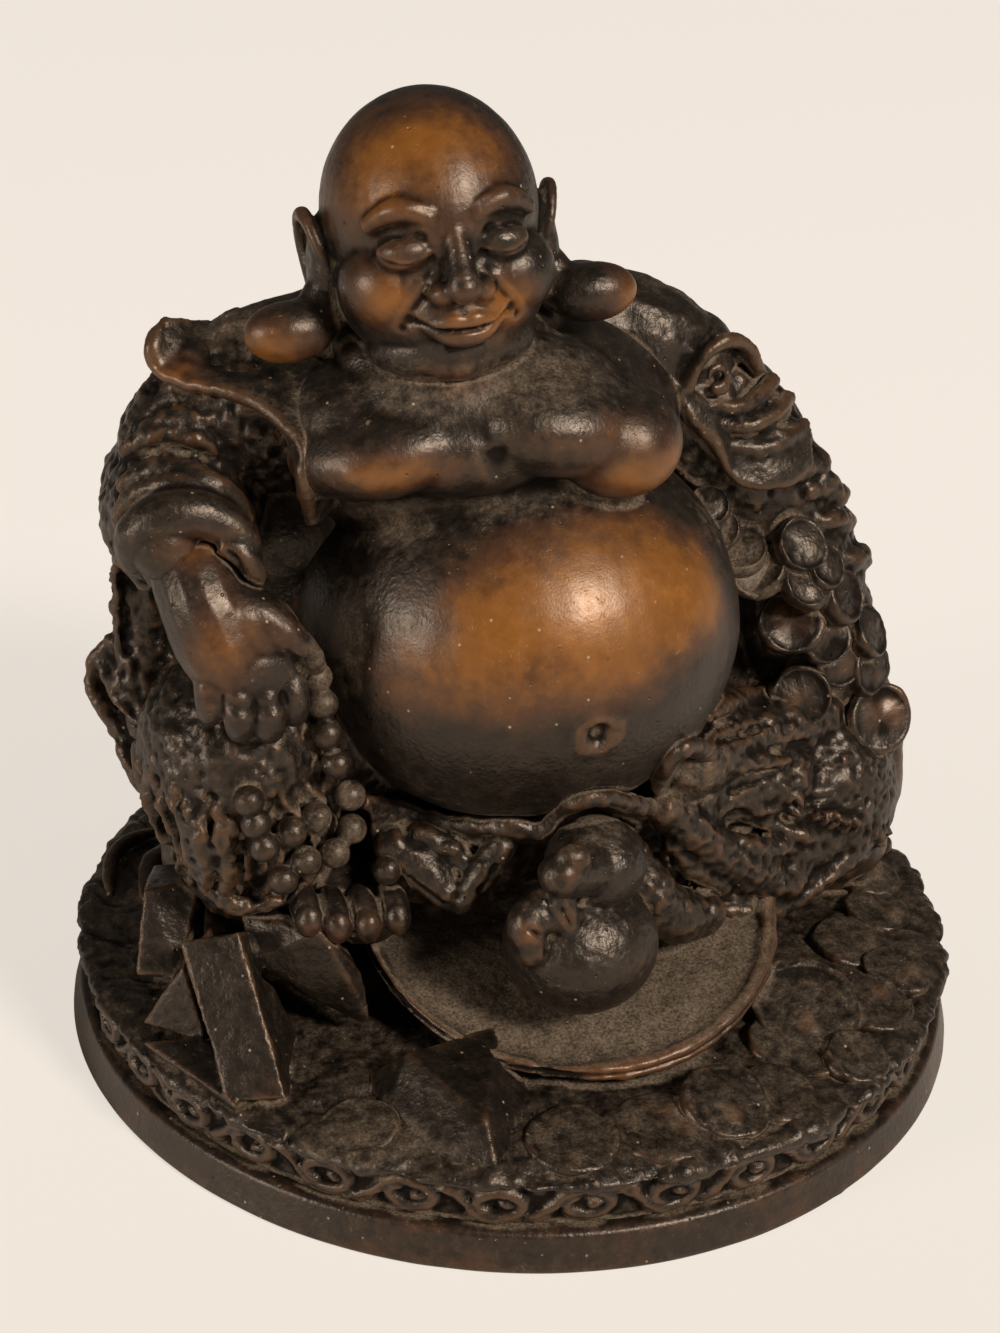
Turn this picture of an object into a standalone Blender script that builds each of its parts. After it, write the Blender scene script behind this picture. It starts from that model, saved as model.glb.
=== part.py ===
"""A seated, round-bellied figure with treasure at its feet, cast in one piece with its round base.

Metres, +Z up. The origin is the middle of the flat underside and the figure faces -Y.
"""

import math

import bmesh
import bpy
from mathutils import Euler, Matrix, Vector

MM = 0.001

# Base: a plain ring below, a carved band above it and an overhanging lip of ground
RING_RADIUS = 80.0
RING_TOP_RADIUS = 78.4
RING_HEIGHT = 7.0
BAND_RADIUS = 76.0
BAND_HEIGHT = 7.8
LIP_RADIUS = 78.2
LIP_HEIGHT = 2.2
GROUND_RISE = 1.4
BAND_TOP = RING_HEIGHT + BAND_HEIGHT
GROUND_Z = BAND_TOP + LIP_HEIGHT
BASE_SIDES = 60

# Running scroll on the band
SCROLL_COUNT = 34
SCROLL_RADIUS = 2.8
SCROLL_CORD = 0.95

# Figure
BELLY_CENTRE = (-4.5, -9.0, 81.0)
BELLY_RADII = (37.0, 37.0, 33.0)
NAVEL = (-0.5, -45.4, 77.5)
CHEST_CENTRE = (-11.0, 2.0, 113.0)
CHEST_RADII = (35.0, 28.0, 21.0)
HEAD_CENTRE = (-20.5, -9.0, 147.5)
HEAD_TURN = (-9.0, -5.0, 0.0)
HEAD_SIZE = 0.94
SKULL_RADII = (17.8, 20.5, 19.5)

# Treasure
COIN_RADIUS = 8.0
COIN_THICKNESS = 2.0
SMALL_COIN_RADIUS = 5.0
BEAD_RADIUS = 2.4
HAT_RADIUS = 35.8
HAT_RIM = 1.6
HAT_CENTRE = (3.0, -22.5, 31.4)
HAT_TILT = (17.5, -1.0, 0.0)

# Making
VOXEL = 0.75
FIGURE_TRIANGLES = 5540


def clear_scene():
    for thing in list(bpy.data.objects):
        bpy.data.objects.remove(thing)


def linked(name, mesh):
    made = bpy.data.objects.new(name, mesh)
    bpy.context.scene.collection.objects.link(made)
    return made


def turned(degrees):
    return Euler([math.radians(d) for d in degrees]).to_matrix().to_4x4()


def placed(thing, centre, turn=(0, 0, 0), scale=(1, 1, 1)):
    """Bakes a place in millimetres and a turn in degrees into the mesh."""
    size = Matrix.Diagonal((*scale, 1))
    thing.data.transform(Matrix.Translation(Vector(centre) * MM) @ turned(turn) @ size)
    return thing


def ball(centre, radii, turn=(0, 0, 0)):
    bpy.ops.mesh.primitive_uv_sphere_add(segments=32, ring_count=20, radius=MM)
    return placed(bpy.context.object, centre, turn, radii)


def disc(centre, radius, thickness, turn=(0, 0, 0)):
    bpy.ops.mesh.primitive_cylinder_add(vertices=13, radius=radius * MM, depth=thickness * MM)
    return placed(bpy.context.object, centre, turn)


def coin(centre, radius, facing):
    """A bare round coin whose face looks along the direction facing."""
    aim = Vector(facing).to_track_quat("Z", "Y").to_euler()
    return disc(centre, radius, COIN_THICKNESS, [math.degrees(angle) for angle in aim])


def hull(corners):
    """The smallest block round the corners, for ingots."""
    shape = bmesh.new()
    for corner in corners:
        shape.verts.new(Vector(corner) * MM)
    bmesh.ops.convex_hull(shape, input=shape.verts)
    mesh = bpy.data.meshes.new("hull")
    shape.to_mesh(mesh)
    shape.free()
    return linked("hull", mesh)


def slab(corners, thickness):
    """A flat ingot: four corners of its face, and its thickness behind that face."""
    face = [Vector(corner) for corner in corners]
    back = (face[1] - face[0]).cross(face[3] - face[0]).normalized() * thickness
    return hull(face + [corner + back for corner in face])


def roll(points, radii, sides=3, smoothness=6):
    """A round roll of clay through the points; radii is one number or one for each point."""
    if not hasattr(radii, "__len__"):
        radii = [radii] * len(points)
    curve = bpy.data.curves.new("roll", "CURVE")
    curve.dimensions = "3D"
    curve.bevel_depth = MM
    curve.bevel_resolution = sides
    curve.resolution_u = smoothness
    curve.use_fill_caps = True
    spline = curve.splines.new("BEZIER")
    spline.bezier_points.add(len(points) - 1)
    for knot, point, radius in zip(spline.bezier_points, points, radii):
        knot.co = Vector(point) * MM
        knot.radius = radius
        knot.handle_left_type = knot.handle_right_type = "AUTO"
    made = linked("roll", curve)
    bpy.ops.object.select_all(action="DESELECT")
    made.select_set(True)
    bpy.context.view_layer.objects.active = made
    bpy.ops.object.convert(target="MESH")
    return bpy.context.object


def limb(points, radii):
    """A roll with round ends."""
    ends = [ball(points[end], (radii[end],) * 3) for end in (0, -1)]
    return joined([roll(points, radii)] + ends)


def rolls(radius, *paths):
    """Several rolls of one radius, thinning at their ends."""
    made = []
    for path in paths:
        made.append(roll(path, [radius * 0.5] + [radius] * (len(path) - 2) + [radius * 0.5]))
    return made


def lathe(profile, sides=BASE_SIDES):
    """A closed solid of revolution about Z; the profile starts and ends on the axis."""
    shape = bmesh.new()
    points = [shape.verts.new((r * MM, 0, z * MM)) for r, z in profile]
    edges = [shape.edges.new(pair) for pair in zip(points, points[1:])]
    bmesh.ops.spin(shape, geom=points + edges, axis=(0, 0, 1), cent=(0, 0, 0), angle=math.tau,
                   steps=sides, use_merge=True)
    bmesh.ops.remove_doubles(shape, verts=shape.verts, dist=0.00001)
    bmesh.ops.recalc_face_normals(shape, faces=shape.faces)
    mesh = bpy.data.meshes.new("lathe")
    shape.to_mesh(mesh)
    shape.free()
    return linked("lathe", mesh)


def plinth():
    return lathe([
        (0, 0), (RING_RADIUS, 0), (RING_TOP_RADIUS, RING_HEIGHT - 0.7), (RING_TOP_RADIUS - 0.9, RING_HEIGHT),
        (BAND_RADIUS, RING_HEIGHT), (BAND_RADIUS, BAND_TOP + 0.8), (0, BAND_TOP + 0.8)])


def ground():
    """The lip and the low mound of ground it edges, with waves worked into its rim."""
    made = [lathe([
        (0, BAND_TOP - 3), (BAND_RADIUS - 3, BAND_TOP - 3), (BAND_RADIUS - 2, BAND_TOP), (LIP_RADIUS, BAND_TOP),
        (LIP_RADIUS, GROUND_Z - 0.3), (LIP_RADIUS * 0.5, GROUND_Z + GROUND_RISE * 0.8),
        (0, GROUND_Z + GROUND_RISE)])]
    made += rolls(
        1.5,
        [(-71.4, 15, 17.4), (-71, 21, 18), (-69.6, 26.4, 18.6), (-66, 30.4, 19), (-60, 33, 19)],
        [(-66, 10, 18.4), (-66.4, 15, 19.6), (-65, 20, 20.6), (-62, 23.4, 21), (-57, 26, 21)])
    waves = 26
    for number in range(waves):
        start = math.tau * number / waves
        path = []
        for step, reach in enumerate((0, 3.5, 8, 14)):
            angle = start + 0.1 * step
            radius = LIP_RADIUS - 1.2 - reach
            path.append((radius * math.sin(angle), -radius * math.cos(angle), GROUND_Z + 0.15))
        made.append(roll(path, [1.0, 1.4, 1.2, 0.5]))
    return made


def on_band(angle, height, out):
    """A point on the carved band: angle round it in radians, height above its middle."""
    radius = BAND_RADIUS + out
    return (radius * math.sin(angle), -radius * math.cos(angle), RING_HEIGHT + BAND_HEIGHT / 2 + height)


def scrolls():
    """The running scroll: curls turned up and down by turns, each on a tail from the one before."""
    made = []
    pitch = math.tau / SCROLL_COUNT
    for number in range(SCROLL_COUNT):
        middle = pitch * number
        flip = 1 if number % 2 else -1
        points = [on_band(middle - pitch * 0.62, -flip * SCROLL_RADIUS * 0.6, 0.1),
                  on_band(middle - pitch * 0.42, flip * SCROLL_RADIUS * 0.5, 0.2)]
        radii = [SCROLL_CORD * 0.5, SCROLL_CORD]
        steps = 5
        for step in range(steps):
            share = step / (steps - 1)
            turn = math.pi * (0.62 - 1.9 * share)
            reach = SCROLL_RADIUS * (1 - 0.5 * share)
            points.append(on_band(middle + reach * 1.4 * math.cos(turn) / BAND_RADIUS,
                                  flip * reach * math.sin(turn), 0.25))
            radii.append(SCROLL_CORD * (1.15 - 0.25 * share))
        made.append(roll(points, radii, sides=0, smoothness=1))
    return made


def torso():
    return [
        ball(BELLY_CENTRE, BELLY_RADII),
        ball(CHEST_CENTRE, CHEST_RADII),
        ball((-30, -19, 117.5), (15, 12, 7.6), (0, -14, -14)),
        ball((-3, -21, 121), (16, 13, 8.6), (0, 8, 12)),
        ball((6.5, -23, 117.5), (10.5, 10.5, 9.0)),
        ball((-14, -13, 122), (22, 15, 11)),
        ball((-10, 14, 92), (44, 28, 44)),
        ball((-16, 0, 129), (18, 18, 10)),
        ball((-37.5, -30, 117), (1.3, 1.3, 1.3)),
    ]


def head():
    made = [
        ball((0, 2, 4), SKULL_RADII),
        ball((0, -3, -8), (17.5, 16, 14)),
        ball((-9, -8.5, -6.5), (8.6, 8.4, 8)),
        ball((9, -8.5, -6.5), (8.6, 8.4, 8)),
        ball((0, -11, -15.5), (8.4, 7.6, 6)),
        roll([(0, -16.5, 3), (0, -19.4, -3), (0, -20.2, -5.6)], [2.0, 2.6, 3.0]),
    ]
    for side in (-1, 1):
        made += [
            ball((side * 3.3, -18.6, -6.2), (2.5, 2.8, 2.1)),
            ball((side * 7.4, -15.6, 0.6), (4.5, 3.6, 2.5)),
            roll([(side * 13, -13.5, 4), (side * 8, -17.2, 6.6), (side * 2.6, -17.6, 4.6)], [1.0, 1.6, 1.1]),
            ball((side * 17.6, 3, -4.5), (3.0, 5.0, 8.5), (0, side * -8, 0)),
            roll([(side * 18, -0.5, -9), (side * 20, 0, -2), (side * 20.6, 3, 2.6), (side * 20.2, 7, 2),
                  (side * 19, 8, -6)], [1.4, 1.6, 1.7, 1.5, 1.2]),
            roll([(side * 19, 1, -7), (side * 21, 0.5, -11), (side * 27, -1, -12.5)], [3.6, 5.0, 4.6]),
            ball((side * 26, -1, -12.5), (7, 5.2, 4.8)),
        ]
    made += [
        roll([(-8, -16.2, -10.6), (-4, -18.6, -12.0), (0, -19.2, -12.3), (4, -18.6, -12.0), (8, -16.2, -10.6)],
             [0.5, 1.4, 1.4, 1.4, 0.5]),
        roll([(-7, -16.2, -11.6), (-3, -18.3, -14.3), (3, -18.3, -14.3), (7, -16.2, -11.6)],
             [0.5, 1.6, 1.6, 0.5]),
    ]
    place = Matrix.Translation(Vector(HEAD_CENTRE) * MM) @ turned(HEAD_TURN) @ Matrix.Scale(HEAD_SIZE, 4)
    for form in made:
        form.data.transform(place)
    return made


def robe():
    """The cloth over the shoulders, back and legs, with its raised hems."""
    made = [
        ball((-4, 21, 50), (61, 39, 50)),
        limb([(-34, 4, 126), (-46, 3, 124.6), (-55, 3, 122.4)], [9, 8, 6.6]),
        ball((-57, 2, 126.6), (5.2, 6, 3.8)),
        limb([(8, 7, 125), (19, 5, 122.5), (26, 5, 119)], [11, 10.5, 9]),
        ball((-1, 22, 35), (61, 38, 23)),
    ]
    made += rolls(
        1.3,
        [(-60, 4, 131), (-62.5, 1, 128), (-62, -1, 124.5), (-59.4, -3, 123.5), (-56.5, -6, 123.5),
         (-51.9, -9, 123.6), (-48, -12, 122.6), (-44.5, -17, 120.5), (-42.8, -21, 118.5), (-43.6, -23, 115.5),
         (-42.8, -21.6, 111), (-41.8, -18, 104.6)],
        [(25, -7, 112), (28.6, -7.5, 108.7), (31, -8, 104.3), (34, -8.5, 102.2),
         (41, -8, 101.5), (47, -4, 102)],
        [(25.3, -5, 121.4), (26.8, -4, 124), (30.4, -2, 124.9), (34, -1, 123.5), (39.6, 3, 117),
         (38.7, -2, 114.7), (33.9, -5, 112.5), (30.5, -6, 113)])
    return made


def right_arm():
    """The arm that rests on the raised knee, in a ringed sleeve with a turned-back cuff."""
    made = [
        limb([(-46, 4, 116), (-56, 2, 110), (-59, -1, 103.5)], [15, 12.6, 11]),
        limb([(-58, 4, 102), (-60, -9, 102), (-59, -16, 102.5)], [13, 12.5, 10]),
        limb([(-64, 2, 94), (-64.5, 1, 80), (-64.5, -2, 66), (-62, -8, 50)], [6, 5.5, 5.5, 4.5]),
        limb([(-60.5, -22, 102), (-59.6, -27.5, 98), (-57.2, -30, 91), (-54, -30.3, 85.5)], [5.6, 6, 7.4, 7.2]),
        ball((-53.2, -30, 91.5), (8.6, 6.2, 6.6), (0, 20, 0)),
        roll([(-54, -31, 98), (-50, -33, 95.5), (-46, -33, 92), (-42.6, -32, 88)], [3.4, 3.2, 2.9, 2.1]),
    ]
    made += rolls(
        1.8,
        [(-66.1, -4.8, 114.4), (-63.4, -5.4, 117), (-59.9, -6.7, 118.4), (-54.7, -8.7, 118.6)],
        [(-68.5, -4.2, 111), (-65.9, -5.3, 114.2), (-61, -7.6, 116.5), (-57.2, -9.1, 116), (-53.6, -9.6, 113.4)],
        [(-69.7, -11.3, 109.4), (-66.8, -13, 112.1), (-61.8, -15.9, 113.8), (-57.2, -20.8, 113.8),
         (-53.5, -20.4, 110.5), (-50.9, -20.2, 106.2)],
        [(-71, -16.2, 105.5), (-68.3, -17, 110), (-64.9, -19.1, 112.7), (-60.5, -21.4, 113.8),
         (-55.9, -21.5, 111.2), (-52.6, -22.5, 107.5)],
        [(-68.8, -8, 99), (-68.6, 0, 85), (-68.6, -0.5, 77), (-67, -1.7, 67)],
        [(-70.6, 0.1, 77.4), (-73.8, 2.4, 71), (-73.2, 0, 66.5), (-70.4, -2.2, 61.5), (-69, -5.8, 57.2),
         (-66, -8, 49)])
    made += [
        roll([(-68.6, -22, 102), (-67.4, -24, 107.5), (-62.2, -25, 110.6), (-56.6, -25.5, 109.4),
              (-53, -26.5, 106), (-52.4, -27, 101.5)], [2.4, 3, 3.2, 3.2, 2.8, 2.0]),
    ]
    for knuckle in ((-58.8, -34, 81.5), (-54.6, -35.4, 79.8), (-50.2, -35.2, 79.4), (-46.4, -33, 81)):
        rise = Vector((-0.5, 1.0, 6.5))
        made.append(roll([Vector(knuckle) + rise, knuckle, Vector(knuckle) + Vector((0.5, 3, -2.5))], [3, 2.5, 2]))
    return made


def left_arm():
    """The arm by the sack, in a long sleeve of stacked rings."""
    made = [limb([(18, 10, 116), (32, 8, 104), (42, 8, 90), (48, 6, 76), (52, 6, 60)], [15, 14, 13.5, 14, 15.5])]
    made += rolls(
        1.8,
        [(30.2, -5.9, 109.5), (33.8, -5.5, 110.5), (38.3, -2.8, 111.4), (41.5, -0.7, 111.7), (44, 8, 111)],
        [(32.2, -6.4, 105.9), (35.8, -6, 106.5), (40.6, -3.9, 107.1), (43.6, -1.6, 107.8), (46.5, 8, 107)],
        [(41.9, -5.8, 100.9), (46.6, -2.5, 101.5), (50.5, 1.5, 100.4), (52, 9, 99)],
        [(46.3, -4.4, 97.6), (51.3, -1.1, 97.2), (54, 0.3, 94.5), (55.5, 8, 93)],
        [(49.5, -4.6, 91.8), (53.6, -2, 90.7), (57, 3, 88), (57.5, 10, 86)],
        [(54, -4, 84), (58.5, -1, 83), (61, 4, 80), (61, 11, 78)])
    made += rolls(1.1, [(26.6, -6.4, 119.8), (27.4, -6, 121.4), (29.4, -5, 121.2), (30, -5, 119.2),
                        (28.8, -5.4, 117.6), (27.6, -6, 118.6)])
    return made


def legs():
    """The right leg stands, with the bare toes out; the left leg lies across the front."""
    made = [
        limb([(-20, 6, 56), (-38, -8, 62), (-49, -18, 64)], [20, 17, 12.5]),
        limb([(-53, -18, 66), (-50.5, -18, 56), (-50, -17, 46)], [16, 16, 13]),
        limb([(-54, 10, 66), (-53, 6, 54), (-53, 4, 40), (-52, 2, 24)], [13, 12.5, 11.5, 10]),
        ball((-36, -21, 39), (8, 12, 5.5), (18, 0, 24)),
        limb([(14, 14, 44), (34, 6, 44), (50, -2, 40)], [22, 21, 19]),
        limb([(55, 10, 54), (59, 4, 40), (59, 2, 26)], [15, 15, 12.5]),
        limb([(52, -4, 38), (40, -11, 36), (26, -14, 36)], [17, 14, 12]),
        limb([(-40, -6, 46), (-20, -4, 44), (0, -3, 43), (20, -6, 42)], [12, 10.5, 10, 11]),
        limb([(-29, -28, 50), (-24, -29, 46), (-20.5, -30, 42)], [3.4, 4.2, 3.4]),
        limb([(-12, -31, 52), (-15, -31, 47), (-18, -32, 43)], [3.2, 3.6, 2.6]),
    ]
    for toe in ((-43.5, -31, 41.6), (-38.7, -31.8, 40.6), (-34, -32.4, 40.6), (-29.2, -32.8, 41.6)):
        made.append(ball(toe, (2.5, 5.2, 3.9), (16, 0, 10)))
    made += rolls(
        1.6,
        [(-64.8, -9.2, 66), (-64.8, -18.3, 64.5), (-64.2, -27, 63.5), (-62.4, -30.1, 57), (-61, -29.2, 46.9)],
        [(-59.9, -27, 64.7), (-61, -31.2, 60), (-60, -31.7, 53), (-60, -29.7, 46)],
        [(-57.1, -33, 65.2), (-57.5, -33.6, 58), (-56.6, -33, 52), (-57, -31, 45.5)],
        [(-60.5, -28.4, 46.5), (-57.1, -31.1, 44.5), (-52.9, -31.7, 43.5), (-47.9, -32, 44.5)])
    made += rolls(
        1.9,
        [(-33.9, -27, 58.5), (-26.3, -24, 54.1), (-19.9, -26.5, 52.8), (-15.3, -31, 54.5), (-11, -35, 56),
         (-6, -36, 55.5), (-3.7, -38, 59.8), (-1.8, -41.2, 63.6), (1.9, -41.2, 64), (6.1, -38, 61),
         (11, -34, 57), (15, -31, 54.5)],
        [(14.6, -32, 58), (13.6, -37, 66), (15.4, -38, 69.5), (20, -34, 67), (25, -28, 62), (29.1, -23, 58),
         (32.1, -20, 55)],
        [(22.2, -32, 71.4), (28, -22, 67.5), (34, -15, 64.5), (40.8, -10.5, 61.4), (44.5, -10, 59.1)],
        [(29, -22, 56.5), (35.5, -17.5, 54.5), (41.2, -15.5, 54.8), (47, -13.5, 56)],
        [(18, -28.1, 49.3), (23.2, -28.7, 47.2), (29.6, -28.2, 44.3), (38, -25.5, 40.5), (46, -21, 38)],
        [(24.2, -25.4, 50.5), (31, -24, 49.3), (37.2, -22.8, 47), (46.6, -18.5, 45.4)],
        [(27.8, -29, 31.5), (35.9, -28, 29.2), (43, -23.5, 27), (50, -21.5, 30), (56, -19, 32.5),
         (66, -11.5, 32)])
    made += [
        limb([(8, -33, 50), (12, -36, 42), (19, -34.5, 35), (24.5, -33, 33.5)], [3.5, 5, 5, 3.5]),
        limb([(16.5, -30.5, 54), (22.5, -29.5, 47.4), (29, -27.5, 41), (38, -25, 34)], [3.4, 4.2, 4.6, 4.0]),
        limb([(24, -24, 38), (33, -23, 34.5), (42, -20, 32)], [5.5, 6, 6]),
    ]
    return made


def back_folds():
    """Long folds falling from the shoulders across the back, and the hem on the ground."""
    return rolls(
        3.2,
        [(-38.3, 20.3, 124), (-29.7, 34.5, 112), (-7.3, 40.5, 100), (18.1, 38, 88), (42.5, 29, 78)],
        [(-48.6, 17.7, 112), (-36.1, 35.5, 98), (-8.3, 46.5, 84), (23.2, 49, 72), (52, 30, 64)],
        [(-53.3, 11.3, 96), (-43, 34.5, 82), (-11.9, 55, 68), (25, 53, 58), (55, 30, 52)],
        [(-62, 12, 80), (-51, 39, 66), (-14.7, 58, 54), (25.2, 53.5, 46), (57, 28, 42)],
        [(-31, 11, 127.6), (-23, 21.5, 123.4), (-8, 25.5, 121.4), (8, 22, 121), (18, 15, 120.6)],
        [(-57.8, 33, 60), (-60, 32, 44), (-57.5, 26, 24)],
        [(-41.8, 49, 50), (-45, 49.5, 36), (-40.2, 39, 20)],
        [(-18.9, 57.5, 44), (-21.7, 58.5, 32), (-19.4, 48, 19)],
        [(6.3, 59, 38), (6.3, 58, 28), (6.9, 49, 19)],
        [(33, 51.5, 38), (34, 49.5, 28), (30.6, 39, 19)],
        [(55, 33, 38), (55, 31, 28), (46, 22, 20)])


def beads():
    made = []
    for place in ((-56.5, -26, 67), (-55, -31, 66.4), (-52.7, -36.4, 62), (-51.4, -36.6, 57.7), (-46.9, -35.6, 59.4),
                  (-42.6, -33.6, 60.4), (-36.9, -32, 62.9), (-36.1, -29.5, 55), (-44.5, -35, 53.3),
                  (-39.2, -31.6, 52), (-48.4, -36, 50.8), (-30.5, -31, 47.5), (-53.7, -36, 66),
                  (-41.5, -27, 82), (-40.8, -28.6, 78), (-40.4, -30.4, 73.6), (-39, -31.5, 68.6)):
        made.append(ball(place, (BEAD_RADIUS, BEAD_RADIUS, BEAD_RADIUS)))
    return made


def gourd():
    """A double gourd with its stopper and a knotted tie."""
    return [
        ball((-1.2, -45.2, 39.0), (12.7, 12.2, 11.2)),
        ball((2, -43, 52.5), (8.6, 8.4, 8.0)),
        limb([(0, -46, 54), (-7, -51.5, 57)], [5, 3.9]),
        limb([(-7, -47, 53), (-10, -48, 49), (-11.5, -49.5, 45.5)], [2.2, 3.4, 4.2]),
    ]


def hat():
    """A round hat laid brim up, with a thick rim."""
    inner = HAT_RADIUS - HAT_RIM
    brim = lathe([(0, -13), (inner * 0.6, -11), (HAT_RADIUS - 1.5, -1.8), (HAT_RADIUS, -1.2), (HAT_RADIUS + 0.6, 0.4), (HAT_RADIUS, 1.8),
                  (inner, 1.6), (inner - 1.2, 0.2), (inner * 0.5, -0.8), (0, -1)], sides=28)
    return [placed(brim, HAT_CENTRE, HAT_TILT)]


def coins():
    made = []
    for x, y, lift in ((-7, -66.5, 0.5), (8, -67, 0.3), (20, -64.5, 1.8), (32, -60.5, 0.8), (45, -57, 0.8),
                       (52.5, -42.5, 1.2), (57, -26, 1.4), (64.5, -15, 2), (69.5, -1.5, 1.8), (39, -48, 3.2)):
        made.append(coin((x, y, GROUND_Z + lift), COIN_RADIUS, (0.05, -0.1, 1)))
    for place, radius, facing in (
            ((43.5, -10.5, 76), 6.0, (-0.2, -1, 0.9)), ((46, -11.5, 62.5), 6.0, (-0.3, -1, 0.3)),
            ((63, -8.5, 54.8), 6.8, (0.2, -1, 0.35)), ((59.7, -6.5, 71), SMALL_COIN_RADIUS, (0.8, -0.6, 0.6)),
            ((60.2, -7.5, 64.5), SMALL_COIN_RADIUS, (0.6, -0.8, 0.3)), ((34, -7.5, 89.5), 5.4, (-0.2, -0.7, 1)),
            ((28.3, -8, 97.4), 4.0, (-0.4, -0.8, 0.7)), ((38, -8.5, 85.5), SMALL_COIN_RADIUS, (-0.6, -0.4, 0.8)),
            ((45, -8.5, 89.2), 5.2, (0.3, -0.9, 0.8)), ((45.4, -10.5, 83), SMALL_COIN_RADIUS, (0.5, -0.9, 0.8)),
            ((53.5, -8.8, 79.5), SMALL_COIN_RADIUS, (0.6, -0.8, 0.4)), ((67, -2, 44), 6.0, (0.9, -0.4, 0.2))):
        made.append(coin(place, radius, facing))
    return made


def ingots():
    """Plain slabs and one boat-shaped ingot, heaped by the right foot."""
    return [
        slab([(-64.5, -34, 41), (-55.4, -34, 40), (-50.4, -50.5, 18.5), (-59.6, -50, 20)], 8),
        hull([(-69, -20, 41), (-60, -20, 41), (-71, -25, 28), (-64, -27, 28), (-66, -8, 38), (-57, -8, 38),
              (-68, -12, 18), (-58, -12, 18)]),
        hull([(-64, -30, 32), (-70.5, -28, 20), (-61, -35, 20), (-58, -22, 34), (-57, -30, 18), (-66, -20, 18)]),
        hull([(-71, -31, 18.6), (-61, -35, 21), (-58.4, -51, 18.6), (-56, -40, 21), (-70, -30, 15.5), (-58, -50, 15.5)]),
        hull([(-54, -27, 39), (-51, -22, 39), (-39, -26, 35), (-42, -36, 40), (-53, -33, 34), (-41, -35.5, 31),
              (-35, -35, 30), (-34, -38, 22.5), (-36, -37, 22), (-46, -33, 27), (-46, -20, 26)]),
        hull([(-30.8, -50.6, 25.5), (-21.3, -66.2, 22.6), (-20.7, -73.0, 16.8), (-10, -57, 17.5), (-15, -45, 23),
              (-36, -56.5, 16.5), (-29, -68.3, 16.2), (-36, -46, 18), (-24, -50, 14), (-22, -70, 14)]),
        hull([(-53, -31, 31), (-49, -31, 27), (-45.5, -33, 18), (-49.5, -46, 17), (-51.5, -46, 17), (-54, -34, 17),
              (-47, -26, 17)]),
    ]


def joined(forms):
    bpy.ops.object.select_all(action="DESELECT")
    for form in forms:
        form.select_set(True)
    bpy.context.view_layer.objects.active = forms[0]
    bpy.ops.object.join()
    return bpy.context.object


def fused(forms, triangles):
    """One skin over all the forms, softened and thinned to a number of triangles."""
    whole = joined(forms)
    skin = whole.modifiers.new("skin", "REMESH")
    skin.mode = "VOXEL"
    skin.voxel_size = VOXEL * MM
    soften = whole.modifiers.new("soften", "SMOOTH")
    soften.factor = 0.5
    soften.iterations = 2
    for modifier in ("skin", "soften"):
        bpy.ops.object.modifier_apply(modifier=modifier)
    outer_skin(whole)
    press(whole, NAVEL, 4.2, 2.4)
    thin = whole.modifiers.new("thin", "DECIMATE")
    thin.use_collapse_triangulate = True
    thin.ratio = triangles / (2 * len(whole.data.polygons))
    bpy.ops.object.modifier_apply(modifier="thin")
    return whole


def outer_skin(body):
    """Keeps the one big outer skin and drops any small pocket closed in between forms."""
    shape = bmesh.new()
    shape.from_mesh(body.data)
    left = set(shape.verts)
    groups = []
    while left:
        edge = [left.pop()]
        group = set(edge)
        while edge:
            vertex = edge.pop()
            for link in vertex.link_edges:
                other = link.other_vert(vertex)
                if other not in group:
                    group.add(other)
                    edge.append(other)
        left -= group
        groups.append(group)
    biggest = max(groups, key=len)
    bmesh.ops.delete(shape, geom=[v for v in shape.verts if v not in biggest], context="VERTS")
    shape.to_mesh(body.data)
    shape.free()


def press(body, centre, radius, depth):
    """Pushes a small round dent into the body."""
    middle = Vector(centre) * MM
    moves = []
    for vertex in body.data.vertices:
        share = (vertex.co - middle).length / (radius * MM)
        if share < 1:
            moves.append((vertex.index, vertex.normal * depth * MM * (1 - share * share) ** 2))
    for index, move in moves:
        body.data.vertices[index].co -= move


def union(body, other):
    add = body.modifiers.new("add", "BOOLEAN")
    add.operation = "UNION"
    add.solver = "EXACT"
    add.use_self = True
    add.object = other
    bpy.context.view_layer.objects.active = body
    bpy.ops.object.modifier_apply(modifier="add")
    bpy.data.objects.remove(other)
    return body


def finished(body):
    body.name = body.data.name = "statue"
    bronze = bpy.data.materials.new("bronze patina")
    bronze.use_nodes = True
    shader = bronze.node_tree.nodes["Principled BSDF"]
    shader.inputs["Base Color"].default_value = (0.045, 0.028, 0.018, 1)
    shader.inputs["Roughness"].default_value = 0.42
    shader.inputs["Metallic"].default_value = 0.0
    body.data.materials.clear()
    body.data.materials.append(bronze)
    for face in body.data.polygons:
        face.use_smooth = True


def main():
    clear_scene()
    figure = fused(ground() + torso() + head() + robe() + back_folds() + right_arm() + left_arm() + legs()
                   + beads() + gourd(), FIGURE_TRIANGLES)
    union(figure, joined(hat() + ingots() + coins()))
    finished(union(figure, union(plinth(), joined(scrolls()))))


main()
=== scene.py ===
# %% [markdown]
# This file dresses a packed statue: a seated, round-bellied figure on a round base, cast in one go
# in resin and finished as old bronze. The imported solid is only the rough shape. Every surface that
# shows is modelled here again, finer, and each piece stands for that solid.

# %% Load the frame
import math

import bmesh
import bpy
import numpy as np
from mathutils import Euler, Matrix, Vector
from mathutils.bvhtree import BVHTree


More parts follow.
